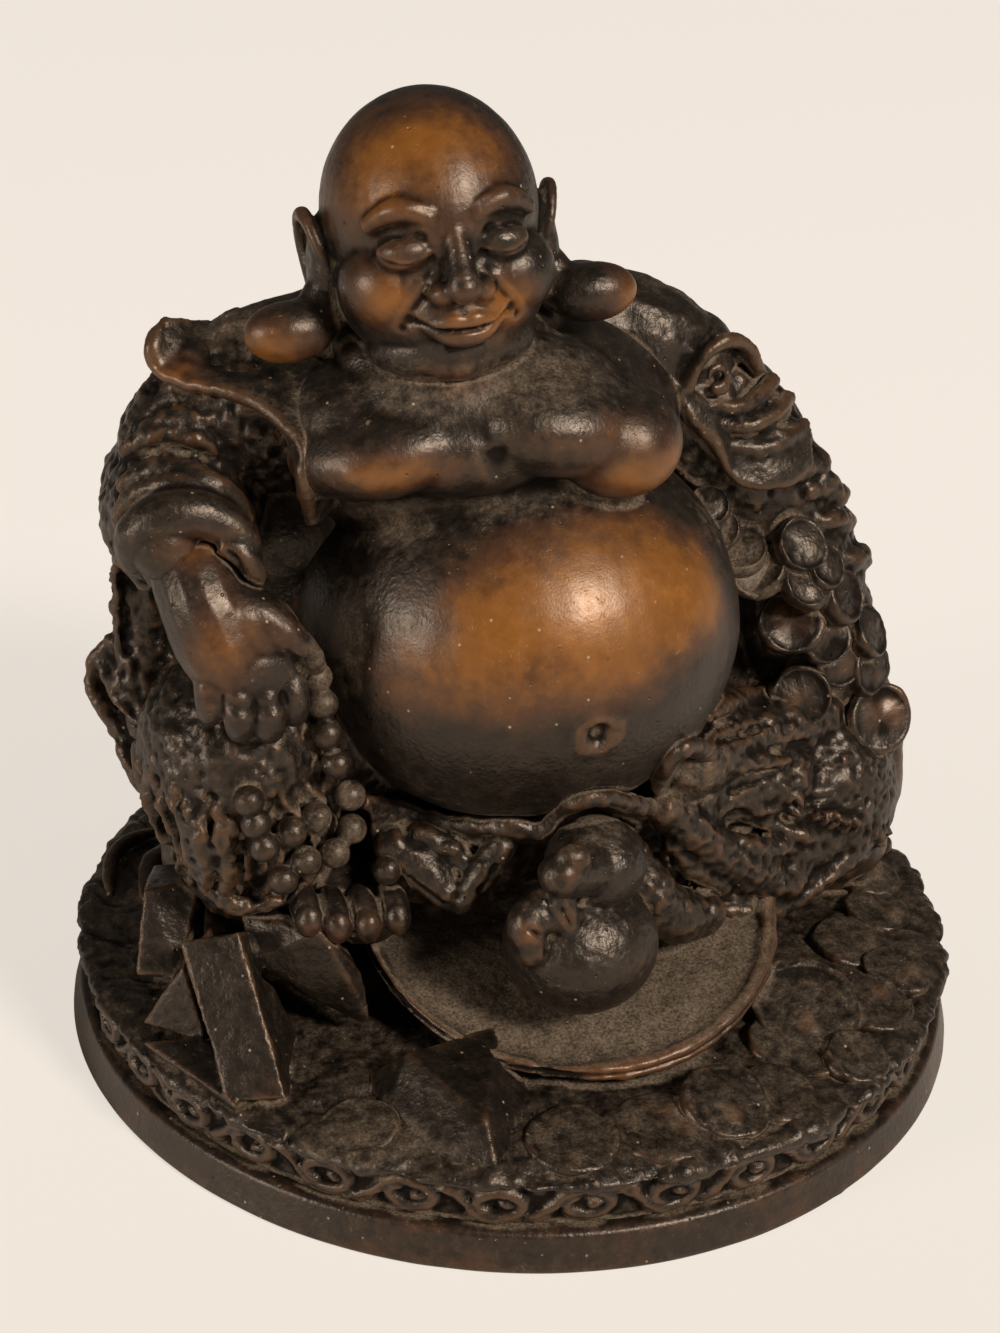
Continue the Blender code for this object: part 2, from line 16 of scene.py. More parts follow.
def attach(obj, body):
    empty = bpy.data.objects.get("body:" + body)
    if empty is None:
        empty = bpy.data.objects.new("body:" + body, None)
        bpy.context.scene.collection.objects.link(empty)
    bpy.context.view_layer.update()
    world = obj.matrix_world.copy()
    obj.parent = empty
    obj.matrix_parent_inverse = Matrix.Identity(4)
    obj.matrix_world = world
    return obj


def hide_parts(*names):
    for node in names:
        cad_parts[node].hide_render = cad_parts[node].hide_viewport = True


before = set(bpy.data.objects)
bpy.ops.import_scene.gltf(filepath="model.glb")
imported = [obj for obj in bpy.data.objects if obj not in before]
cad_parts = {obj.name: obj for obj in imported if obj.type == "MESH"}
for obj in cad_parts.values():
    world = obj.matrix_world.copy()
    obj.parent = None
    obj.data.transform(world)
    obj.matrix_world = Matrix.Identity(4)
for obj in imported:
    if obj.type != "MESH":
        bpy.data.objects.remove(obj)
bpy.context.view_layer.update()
MM = 0.001

# %% [markdown]
# A statue like this one starts as balls and rolls of clay pressed together. We do the same:
# a ball is a sphere stretched and turned into place, and a roll is a round curve through some
# points, turned into a mesh. Sizes are in millimetres, with the figure facing -Y and Z up.

# %% Balls and rolls of clay
def pick(*things):
    bpy.ops.object.select_all(action="DESELECT")
    for thing in things:
        thing.select_set(True)
    bpy.context.view_layer.objects.active = things[0]


def turned(degrees):
    return Euler([math.radians(d) for d in degrees]).to_matrix().to_4x4()


def put(thing, centre, turn=(0, 0, 0), size=(1, 1, 1)):
    """Bakes a place, a turn and a size into the mesh, so the object itself stays at the origin."""
    place = Matrix.Translation(Vector(centre) * MM) @ turned(turn)
    thing.data.transform(place @ Matrix.Diagonal((*size, 1)))
    return thing


def ball(centre, radii, turn=(0, 0, 0)):
    bpy.ops.object.select_all(action="DESELECT")
    bpy.ops.mesh.primitive_uv_sphere_add(segments=48, ring_count=32, radius=MM)
    if not hasattr(radii, "__len__"):
        radii = (radii,) * 3
    return put(bpy.context.object, centre, turn, radii)


def roll(points, radii, sides=5):
    """A roll of clay through the points; radii is one number or one for each point."""
    if not hasattr(radii, "__len__"):
        radii = [radii * 0.5] + [radii] * (len(points) - 2) + [radii * 0.5]
    curve = bpy.data.curves.new("roll", "CURVE")
    curve.dimensions = "3D"
    curve.bevel_depth = MM
    curve.bevel_resolution = sides
    curve.resolution_u = 10
    curve.use_fill_caps = True
    spline = curve.splines.new("BEZIER")
    spline.bezier_points.add(len(points) - 1)
    for knot, point, radius in zip(spline.bezier_points, points, radii):
        knot.co = Vector(point) * MM
        knot.radius = radius
        knot.handle_left_type = knot.handle_right_type = "AUTO"
    made = bpy.data.objects.new("roll", curve)
    bpy.context.scene.collection.objects.link(made)
    pick(made)
    bpy.ops.object.convert(target="MESH")
    return bpy.context.object


def limb(points, radii):
    """A roll with round ends."""
    return join([roll(points, radii)] + [ball(points[end], radii[end]) for end in (0, -1)])


def join(forms):
    pick(*forms)
    bpy.ops.object.join()
    return bpy.context.object


# %% [markdown]
# Clay forms that only overlap would show hard seams. A voxel remesh lays one skin over them all,
# like a thumb run over the joints, and a few rounds of smoothing take out the voxel steps.
# The grain is the voxel size: about half a millimetre where the carving is fine, more where it
# is plain, which keeps each piece under 200,000 triangles.

# %% One skin over the forms
made_pieces = []


def apply(piece, *names):
    pick(piece)
    for name in names:
        bpy.ops.object.modifier_apply(modifier=name)


def fuse(name, forms, grain, soft, most=190000):
    piece = join(forms)
    piece.name = piece.data.name = name
    skin = piece.modifiers.new("skin", "REMESH")
    skin.mode = "VOXEL"
    skin.voxel_size = grain * MM
    smooth = piece.modifiers.new("smooth", "SMOOTH")
    smooth.factor = 0.5
    smooth.iterations = soft
    apply(piece, "skin", "smooth")
    faces = len(piece.data.polygons) * 2
    if faces > most:
        thin = piece.modifiers.new("thin", "DECIMATE")
        thin.ratio = most / faces
        apply(piece, "thin")
    made_pieces.append(piece)
    print(name, "has", sum(len(face.vertices) - 2 for face in piece.data.polygons), "triangles")
    return piece


# %% [markdown]
# After the skin comes the modelling tool. A stroke follows a smooth path and raises or cuts the
# surface beside it, strongest on the path and fading out at its width. Every hem, lid, crease and
# ring below is a stroke, so its edge is as crisp as the mesh allows.

# %% The modelling tool
def surface(piece):
    """Points in mm and outward directions of a piece, as arrays."""
    count = len(piece.data.vertices)
    points = np.empty(count * 3, np.float32)
    piece.data.vertices.foreach_get("co", points)
    out = np.empty(count * 3, np.float32)
    piece.data.vertices.foreach_get("normal", out)
    return points.reshape(-1, 3).astype(float) / MM, out.reshape(-1, 3).astype(float)


def reshape(piece, points):
    piece.data.vertices.foreach_set("co", (points * MM).astype(np.float32).ravel())
    piece.data.update()


def smooth_path(points, steps=8):
    """Points along a Catmull-Rom curve through the given ones."""
    knots = np.array([points[0], *points, points[-1]], float)
    line = []
    for a, b, c, d in zip(knots, knots[1:], knots[2:], knots[3:]):
        for t in np.arange(steps) / steps:
            bend = (2 * a - 5 * b + 4 * c - d) * t ** 2
            twist = (3 * b - a - 3 * c + d) * t ** 3
            line.append(0.5 * (2 * b + (c - a) * t + bend + twist))
    return np.array(line + [knots[-1]])


def distance(points, line):
    """For each point, how far the line is, and how far along it the nearest place is, from 0 to 1."""
    best = np.full(len(points), 1e9)
    along = np.zeros(len(points))
    for number, (a, b) in enumerate(zip(line, line[1:])):
        leg = b - a
        share = np.clip((points - a) @ leg / max(leg @ leg, 1e-9), 0, 1)
        gap = np.linalg.norm(points - a - share[:, None] * leg, axis=1)
        closer = gap < best
        best[closer] = gap[closer]
        along[closer] = (number + share[closer]) / (len(line) - 1)
    return best, along


def strokes(piece, width, height, *paths, crisp=1.5, fade=0.12):
    """Raises (height above 0) or cuts (below 0) the surface along each path."""
    points, out = surface(piece)
    moved = points.copy()
    for path in paths:
        line = smooth_path(path)
        near = np.all((points > line.min(0) - width) & (points < line.max(0) + width), axis=1)
        gap, along = distance(points[near], line)
        ends = np.clip(np.minimum(along, 1 - along) / fade, 0, 1) ** 0.5
        lift = height * ends * np.clip(1 - (gap / width) ** 2, 0, 1) ** crisp
        moved[near] += out[near] * lift[:, None]
    reshape(piece, moved)


def dabs(piece, *places):
    """Round pushes of the thumb: each place is a centre, a radius and a height."""
    points, out = surface(piece)
    for centre, radius, height in places:
        share = np.linalg.norm(points - np.array(centre, float), axis=1) / radius
        points += out * (height * np.clip(1 - share ** 2, 0, 1) ** 2)[:, None]
    reshape(piece, points)


def roughen(piece, size, depth, seed=0, where=None):
    """Clouds of clay texture: size is the width of a lump and depth its height, in mm."""
    points, out = surface(piece)
    lumps = clouds(points / size + seed * 17.3) - 0.5
    if where is not None:
        lumps = lumps * where(points)
    reshape(piece, points + out * (lumps * 2 * depth)[:, None])


def clouds(places):
    """Smooth noise from 0 to 1 at an array of places, the same on each run."""
    cell = np.floor(places).astype(np.int64)
    part = places - cell
    part = part * part * (3 - 2 * part)
    total = np.zeros(len(places))
    for corner in range(8):
        step = np.array([corner & 1, corner >> 1 & 1, corner >> 2 & 1])
        spot = cell + step
        mix = (spot[:, 0] * 73856093) ^ (spot[:, 1] * 19349663) ^ (spot[:, 2] * 83492791)
        mix = ((mix ^ (mix >> 13)) * 1274126177) & 0x7FFFFFFF
        weight = np.where(step, part, 1 - part).prod(axis=1)
        total += weight * (mix % 100003) / 100003
    return total


# %% [markdown]
# Cloth that stands free, such as a flap or the edge of the robe, is a sheet between two curves. We
# step across from one to the other, then Solidify gives it its thickness, and the skin welds it on.

# %% Sheets of cloth and small rings
def cloth(edge, other_edge, thickness=1.5, sag=0.0):
    """A sheet from one curve to another; sag pushes its middle down, in mm."""
    count = 40
    lines = []
    for line in (smooth_path(edge), smooth_path(other_edge)):
        at = np.linspace(0, len(line) - 1, count)
        low_end = np.minimum(at.astype(int), len(line) - 2)
        part = (at - low_end)[:, None]
        lines.append(line[low_end] * (1 - part) + line[low_end + 1] * part)
    shape = bmesh.new()
    rows = []
    for share in np.linspace(0, 1, 9):
        drop = np.array([0, 0, -sag * math.sin(math.pi * share)])
        across = lines[0] * (1 - share) + lines[1] * share + drop
        rows.append([shape.verts.new(point * MM) for point in across])
    for row, following in zip(rows, rows[1:]):
        for k in range(count - 1):
            shape.faces.new((row[k], row[k + 1], following[k + 1], following[k]))
    mesh = bpy.data.meshes.new("cloth")
    shape.to_mesh(mesh)
    shape.free()
    made = bpy.data.objects.new("cloth", mesh)
    bpy.context.scene.collection.objects.link(made)
    wall = made.modifiers.new("wall", "SOLIDIFY")
    wall.thickness = thickness * MM
    wall.offset = 0
    apply(made, "wall")
    return made


def small_ring(centre, radius, thickness, facing):
    bpy.ops.object.select_all(action="DESELECT")
    bpy.ops.mesh.primitive_torus_add(major_radius=radius * MM, minor_radius=thickness * MM,
                                     major_segments=40, minor_segments=14)
    made = bpy.context.object
    aim = Vector(facing).to_track_quat("Z", "Y").to_matrix().to_4x4()
    made.data.transform(Matrix.Translation(Vector(centre) * MM) @ aim)
    return made


# %% [markdown]
# The base is turned on a wheel: a plain ring below, with a rolled upper edge. A profile spun round
# the axis gives it, and a little noise keeps it from looking machined, as the wax never is.

# %% The plain ring
def wheel(name, profile, steps):
    """A closed surface of revolution: the profile is radius and height in mm."""
    shape = bmesh.new()
    corners = [shape.verts.new((r * MM, 0, z * MM)) for r, z in profile]
    edges = [shape.edges.new(pair) for pair in zip(corners, corners[1:])]
    bmesh.ops.spin(shape, geom=corners + edges, axis=(0, 0, 1), cent=(0, 0, 0), angle=math.tau, steps=steps,
                   use_merge=True)
    bmesh.ops.remove_doubles(shape, verts=shape.verts, dist=0.000005)
    bmesh.ops.recalc_face_normals(shape, faces=shape.faces)
    mesh = bpy.data.meshes.new(name)
    shape.to_mesh(mesh)
    shape.free()
    made = bpy.data.objects.new(name, mesh)
    bpy.context.scene.collection.objects.link(made)
    return made


ring_profile = [(0, 0), (40, 0), (78.5, 0), (79.4, 0.15), (79.7, 0.6)]
ring_profile += [(79.7 - 1.3 * t / 9, 0.6 + 5.3 * t / 9) for t in range(1, 10)]
ring_profile += [(78.3, 6.4), (77.9, 6.85), (77.2, 7.1), (76.4, 7.1), (75.6, 7.0), (60, 7), (0, 7)]
ring = wheel("base_ring", ring_profile, 320)
made_pieces.append(ring)
roughen(ring, 26, 0.12, 1, where=lambda p: np.hypot(p[:, 0], p[:, 1]) > 75)
roughen(ring, 5, 0.06, 2, where=lambda p: np.hypot(p[:, 0], p[:, 1]) > 75)
strokes(ring, 0.8, 0.25, [(38.6, -69.3, 7.6), (39.4, -69.2, 4), (39.2, -69.8, 0.2)], fade=0.02)
print("ring", len(ring.data.polygons), "faces")

# %% [markdown]
# Round the base runs a carved band of curls, each with a small leaf in its eye, that turn up and
# down by turns. The real one was pressed from a strip. We draw two curls as lines on a flat strip,
# raise each point by its distance from the lines, and wrap seventeen copies round the base.

# %% The carved band
BAND_RADIUS = 75.4
BAND_LOW = 6.8
BAND_TALL = 8.8
CURLS = 34
PITCH = math.tau * 76 / CURLS


def curl_lines(flip):
    """One curl on the strip, as lines with a half-width: a tail, a round loop and a hooked end."""
    loop = []
    for step in range(22):
        share = step / 21
        turn = math.pi * (1.02 - 2.35 * share)
        reach = 3.0 * (1 - 0.42 * share)
        loop.append((1.62 * reach * math.cos(turn), flip * reach * math.sin(turn)))
    tail = [(-PITCH * 0.62, -flip * 2.1), (-PITCH * 0.48, -flip * 1.5), (-4.9, flip * 0.1), loop[0]]
    leaf = [(0.6, -flip * 0.35), (2.3, flip * 0.2)]
    stem = [(4.6, flip * 1.8), (PITCH * 0.44, flip * 2.7), (PITCH * 0.6, flip * 1.9)]
    return [(loop, 1.25), (tail, 1.15), (leaf, 1.0), (stem, 0.8)]


def strip_heights(across, up):
    """Relief of two neighbouring curls, tiled along the strip."""
    spots = np.stack([across, up, np.zeros_like(up)], axis=1)
    relief = np.zeros(len(spots))
    for curl in (-1, 0, 1, 2):
        flip = 1 if curl % 2 else -1
        for line, half in curl_lines(flip):
            path = np.array([(x + (curl + 0.5) * PITCH, z, 0) for x, z in line])
            gap, along = distance(spots, smooth_path(path, 3))
            taper = half * np.clip(0.55 + 2.2 * np.minimum(along, 1 - along), 0, 1)
            relief = np.maximum(relief, np.clip(1 - (gap / taper) ** 2, 0, 1) ** 0.5 * (0.7 + 0.5 * half))
    return relief


SAMPLES = 96
columns = SAMPLES * CURLS // 4
rows = 34
bpy.ops.object.select_all(action="DESELECT")
bpy.ops.mesh.primitive_grid_add(x_subdivisions=columns, y_subdivisions=rows, size=1)
band = bpy.context.object
band.name = band.data.name = "base_band"
flat, _ = surface(band)
flat = flat * MM + 0.5
tile = 2 * PITCH
across = flat[:, 0] * CURLS * PITCH
height = flat[:, 1] * BAND_TALL
one = np.round(across / tile % 1 * SAMPLES).astype(int)
level = np.round(flat[:, 1] * rows).astype(int)
steps_across = np.arange(SAMPLES + 1) / SAMPLES * tile
steps_up = np.arange(rows + 1) / rows * BAND_TALL
grid = np.stack(np.meshgrid(steps_across, steps_up, indexing="ij"), -1)
relief = strip_heights(grid[..., 0].ravel(), grid[..., 1].ravel() - BAND_TALL / 2)
relief = relief.reshape(SAMPLES + 1, rows + 1)
worn = clouds(np.stack([across / 6, height / 4, across * 0], axis=1))
grain = clouds(np.stack([across, height, across * 0], 1) / 1.3)
lift = relief[one, level] * (0.85 + 0.3 * worn) + 0.35 * grain
angle = across / (CURLS * PITCH) * math.tau
reach = BAND_RADIUS + lift
reshape(band, np.stack([reach * np.sin(angle), -reach * np.cos(angle), BAND_LOW + height], axis=1))
pick(band)
bpy.ops.object.mode_set(mode="EDIT")
bpy.ops.mesh.select_all(action="SELECT")
bpy.ops.mesh.remove_doubles(threshold=0.00002)
bpy.ops.object.mode_set(mode="OBJECT")
made_pieces.append(band)
print("band", len(band.data.polygons), "faces; one curl is", round(PITCH, 1), "mm long")

# %% [markdown]
# Above the band hangs the ground: a low mound with a ragged, rounded lip. It is one profile spun
# round, finest at the rim. Waves swirl inward from the lip, cut as shallow curved grooves, and
# clouds of noise break them, so no two are alike.

# %% The ground
lip_profile = [(0, 18.4), (30, 18.2)]
lip_profile += [(r, 18.3 - 1.5 * max(0, (r - 30) / 47) ** 2) for r in np.arange(34, 76.6, 0.55)]
lip_profile += [(77.2, 16.5), (77.7, 16.2), (78.0, 15.8), (78.05, 15.4), (77.9, 15.0), (77.5, 14.7),
                (76.9, 14.5), (76.0, 14.3), (74.5, 14.2)]
ground = wheel("ground", lip_profile, 760)
points, out = surface(ground)
radius = np.hypot(points[:, 0], points[:, 1])
around = np.arctan2(points[:, 0], -points[:, 1])
wander = clouds(points / 9) - 0.5
swirl = around * 26 - (78 - radius) * 0.2 + wander * 4.5
rim = np.clip((radius - 44) / 24, 0, 1)
waves = np.abs(np.sin(swirl * 0.5)) ** 0.6 - 0.6
ripple = np.abs(np.sin(swirl * 1.6 + clouds(points / 4) * 5)) ** 0.7 - 0.6
lift = rim * (1.3 * waves + 0.6 * ripple)
lift = lift + 0.9 * (clouds(points / 3.2) - 0.5) + 0.3 * (clouds(points / 1.1) - 0.5)
edge = np.clip((radius - 75) / 2.5, 0, 1)
lift += edge * 1.1 * (clouds(np.stack([around * 9, radius * 0, radius * 0], 1)) - 0.7)
reshape(ground, points + out * np.where(radius > 25, lift, 0)[:, None])
made_pieces.append(ground)
print("ground", len(ground.data.polygons) * 2, "triangles")

# %% [markdown]
# The bare trunk is the smoothest part: a great round belly, a soft chest with two heavy folds of
# flesh over it, and rolls at the neck. Overlapping balls give the masses, a coarse skin with many
# rounds of smoothing gives flesh, and the navel and the creases are pressed in afterwards.

# %% The trunk
trunk = fuse("trunk", [
    ball((-4.5, -9, 81), (37, 37, 33)),
    ball((-11, 2, 113), (35, 28, 21)),
    ball((-30, -19, 117.5), (15, 12, 7.6), (0, -14, -14)),
    ball((-3, -21, 121), (16, 13, 8.6), (0, 8, 12)),
    ball((6.5, -23, 117.5), (10.5, 10.5, 9.0)),
    ball((-14, -14, 122), (24, 15, 11.5)),
    ball((-17, -20, 118), (16, 11, 8.2)),
    ball((-33, -12, 118), (11, 14, 10)),
    ball((-16, 0, 129), (20, 18, 10)),
    ball((-19, -9, 130), (17, 14, 6), (14, 0, 0)),
], 0.62, 14, 130000)
dabs(trunk, ((-0.5, -45.4, 77.5), 5.4, 0.9), ((-0.5, -45.0, 77.9), 3.0, -4.2), ((-37.5, -30, 117), 2.6, 0.5))
dabs(trunk, ((-37.5, -30.5, 117), 1.2, 1.3))
strokes(trunk, 0.5, -0.35,
        [(-39.2, -30, 117), (-37.5, -31, 118.8), (-35.9, -31.3, 117), (-37.4, -30.8, 115.3),
         (-39.2, -30, 117)], fade=0.01)
strokes(trunk, 2.6, -0.7, [(-15.5, -30.5, 121), (-14.5, -32, 117), (-13, -31.5, 113)])
roughen(trunk, 14, 0.3, 3)
roughen(trunk, 3.2, 0.04, 4)

# %% [markdown]
# The head is bald and round, leaning to one side. The face is our own: calm, eyes closed, a closed
# smile, on the proportions that drawing books give. The eyes lie half way down the head, the foot
# of the nose half way between the brow and the chin, and the mouth a third below that. It is
# modelled upright and facing the front, then leaned and moved to its place all together.

# %% Head masses
def sided(side, *points):
    """The points for one side of the head: side is -1 for its right and 1 for its left."""
    return [(side * x, y, z) for x, y, z in points]


HEAD_SPOT = Matrix.Translation(Vector((-20.5, -9, 147.5)) * MM)
HEAD_PLACE = HEAD_SPOT @ turned((-9, -5, 0)) @ Matrix.Scale(0.94, 4)
forms = [
    ball((0, 2, 4), (17.8, 20.5, 19.5)),
    ball((0, -3, -7), (17.3, 16, 14)),
    ball((-9.5, -8.2, -5.6), (8.2, 8.4, 7.6)),
    ball((9.5, -8.2, -5.6), (8.2, 8.4, 7.6)),
    ball((0, -10.2, -14.8), (9.5, 7.4, 6.6)),
    ball((0, -12.2, -17.4), (4.8, 5.0, 4.2)),
    ball((0, -5, -16.5), (14, 12, 7)),
    roll([(0, -16.2, 5), (0, -17.8, 1.6), (0, -19.6, -2.4), (0, -20.8, -4.6)], [1.7, 1.8, 2.2, 2.6]),
    ball((0, -20.4, -5.2), (2.9, 2.9, 2.5)),
    ball((0, -16.2, -9.8), (7.4, 3.4, 4.8)),
]
for side in (-1, 1):
    forms += [
        ball((side * 3.1, -18.6, -6.0), (2.3, 2.6, 1.9)),
        ball((side * 7.4, -14.7, 0.6), (4.9, 3.9, 3.1)),
        roll(sided(side, (13.4, -12.4, 4.6), (8.4, -15.9, 7.2), (3.2, -17.0, 5.6)), [1.4, 2.1, 1.6]),
        ball((side * 17.9, 3, -3.2), (3.0, 5.4, 8.6), (0, side * -4, side * 8)),
        roll(sided(side, (18.2, -1.6, -3.4), (19.4, -1.2, 1), (20.2, 1, 4.2), (20.6, 4.2, 5.0),
                   (20.6, 7.2, 2.8), (20.2, 8.2, -2.0), (19.4, 6.4, -7.0), (19.2, 3, -10.5)),
             [0.8, 1.0, 1.15, 1.25, 1.25, 1.25, 1.5, 2.4]),
        roll(sided(side, (18.8, 4.2, 1.6), (19.4, 5.0, -1.6), (19.2, 3.8, -5.2), (18.8, 1.4, -7.4)),
             [0.7, 0.95, 1.0, 0.8]),
        ball((side * 18.2, -1.2, -3.6), (1.3, 1.3, 1.9)),
        roll(sided(side, (18.6, 1.5, -7), (20.5, 0.8, -11), (25, -1, -12.8)), [3.2, 4.6, 4.6]),
        ball((side * 25.4, -1.2, -12.7), (7.6, 5.3, 5.0)),
    ]
forms.append(roll([(-7.2, -16.4, -10.5), (-4.4, -18.3, -10.9), (-1.6, -19.2, -10.4), (0, -19.1, -10.7),
                   (1.6, -19.2, -10.4), (4.4, -18.3, -10.9), (7.2, -16.4, -10.5)],
                  [0.5, 1.0, 1.4, 1.3, 1.4, 1.0, 0.5]))
forms.append(roll([(-6.4, -16.6, -11.4), (-3, -18.3, -12.8), (0, -18.7, -13.2), (3, -18.3, -12.8),
                   (6.4, -16.6, -11.4)], [0.5, 1.4, 1.7, 1.4, 0.5]))
head = fuse("head", forms, 0.42, 5, 150000)

# %% [markdown]
# The fine lines of the face are strokes: a lash line and a soft fold over each closed eye, the line
# between the lips with its corners a little up, the grooves from the nose, and the hollows of the ear.

# %% Face lines
for side in (-1, 1):
    strokes(head, 0.75, -0.75,
            sided(side, (3.5, -17.6, -0.2), (5.4, -18.6, -1.2), (7.6, -18.6, -1.5), (9.8, -17.4, -1.0),
                  (11.6, -15.6, 0.3)))
    strokes(head, 0.6, 0.35,
            sided(side, (3.8, -17.6, 0.6), (5.6, -18.6, -0.3), (7.6, -18.6, -0.6), (9.7, -17.4, -0.1),
                  (11.2, -15.8, 0.9)))
    strokes(head, 0.8, -0.6,
            sided(side, (3.4, -16.6, 1.6), (5.4, -17.6, 3.2), (7.8, -17.4, 3.7), (10.4, -15.6, 3.2),
                  (12.4, -13.6, 1.6)))
    strokes(head, 0.9, -0.4, sided(side, (4.2, -17.2, -2.6), (7.2, -18.0, -3.7), (10.6, -16.6, -2.8)))
    strokes(head, 0.7, 0.3, sided(side, (2.6, -17.6, 6.6), (5.4, -17.4, 7.9), (9.0, -16.4, 8.0),
                                  (12.6, -13.8, 6.2)))
    strokes(head, 1.3, -0.8,
            sided(side, (4.6, -17.6, -4.4), (6.6, -17.2, -7.0), (8.6, -15.8, -9.6), (9.4, -14.6, -12.0)))
    strokes(head, 0.7, -0.7, sided(side, (4.9, -17.8, -4.8), (5.3, -17.6, -6.2), (4.3, -18.0, -7.6)))
    dabs(head, ((side * 1.7, -20.6, -7.7), 1.3, -1.1), ((side * 7.9, -16.2, -10.2), 1.5, -0.8),
         ((side * 18.6, 1.6, -2.2), 2.9, -1.6), ((side * 18.6, 0.9, -5.6), 2.0, -0.8))
    strokes(head, 0.8, -0.7,
            sided(side, (19.6, 0.6, 1.6), (20.2, 4.0, 3.0), (20.1, 6.4, 0.8), (19.4, 6.8, -3.4),
                  (19.0, 4.6, -7.2)))
strokes(head, 0.6, -0.85,
        [(-7.7, -16.4, -10.0), (-5.4, -18.2, -11.1), (-2.6, -19.6, -11.8), (0, -19.9, -11.9),
         (2.6, -19.6, -11.8), (5.4, -18.2, -11.1), (7.7, -16.4, -10.0)], fade=0.05)
strokes(head, 1.0, -0.5, [(0, -19.4, -7.8), (0, -19.3, -9.6)])
strokes(head, 1.2, -0.55, [(-3.6, -17.8, -15.0), (0, -18.4, -15.4), (3.6, -17.8, -15.0)])
strokes(head, 1.1, -0.5, [(-9, -11.5, -18.8), (-4, -15.2, -20.8), (0, -16, -21.2), (4, -15.2, -20.8),
                          (9, -11.5, -18.8)])
head.data.transform(HEAD_PLACE)
head.data.update()
roughen(head, 12, 0.15, 5)
roughen(head, 2.2, 0.04, 6)

# %% [markdown]
# The robe hangs open from both shoulders and falls over the back to the ground. Its masses are
# balls; the folds across the back are long thick rolls, and the raised hem in front is a thin one.

# %% Robe, back and shoulders
robe = fuse("robe_back", [
    ball((-10, 14, 92), (44, 28, 44)),
    ball((-4, 21, 50), (61, 39, 50)),
    ball((-1, 22, 35), (61, 38, 23)),
    limb([(-54, 10, 66), (-53, 6, 54), (-53, 4, 40), (-52, 2, 24)], [13, 12.5, 11.5, 10]),
    limb([(55, 10, 54), (59, 4, 40), (59, 2, 26)], [15, 15, 12.5]),
    roll([(-38.3, 20.3, 124), (-29.7, 34.5, 112), (-7.3, 40.5, 100), (18.1, 38, 88), (42.5, 29, 78)], 3.2),
    roll([(-48.6, 17.7, 112), (-36.1, 35.5, 98), (-8.3, 46.5, 84), (23.2, 49, 72), (52, 30, 64)], 3.2),
    roll([(-53.3, 11.3, 96), (-43, 34.5, 82), (-11.9, 55, 68), (25, 53, 58), (55, 30, 52)], 3.2),
    roll([(-62, 12, 80), (-51, 39, 66), (-14.7, 58, 54), (25.2, 53.5, 46), (57, 28, 42)], 3.2),
    roll([(-57.8, 33, 60), (-60, 32, 44), (-57.5, 26, 24)], 3.2),
    roll([(-41.8, 49, 50), (-45, 49.5, 36), (-40.2, 39, 20)], 3.2),
    roll([(-18.9, 57.5, 44), (-21.7, 58.5, 32), (-19.4, 48, 19)], 3.2),
    roll([(6.3, 59, 38), (6.3, 58, 28), (6.9, 49, 19)], 3.2),
    roll([(33, 51.5, 38), (34, 49.5, 28), (30.6, 39, 19)], 3.2),
    roll([(55, 33, 38), (55, 31, 28), (46, 22, 20)], 3.2),
], 0.85, 5, 150000)
roughen(robe, 6, 0.5, 7)
roughen(robe, 2.2, 0.2, 32)
shoulder_hem = [(-60, 4, 131), (-62.5, 1, 128), (-62, -1, 124.5), (-59.4, -3.6, 123.6), (-56.5, -6.5, 123.5),
                (-51.9, -9.5, 123.6), (-48, -12.5, 122.6), (-44.5, -17, 120.5), (-42.8, -21, 118.5),
                (-42.9, -22.6, 115), (-42.2, -21.6, 110.6), (-41.2, -18, 104.3)]
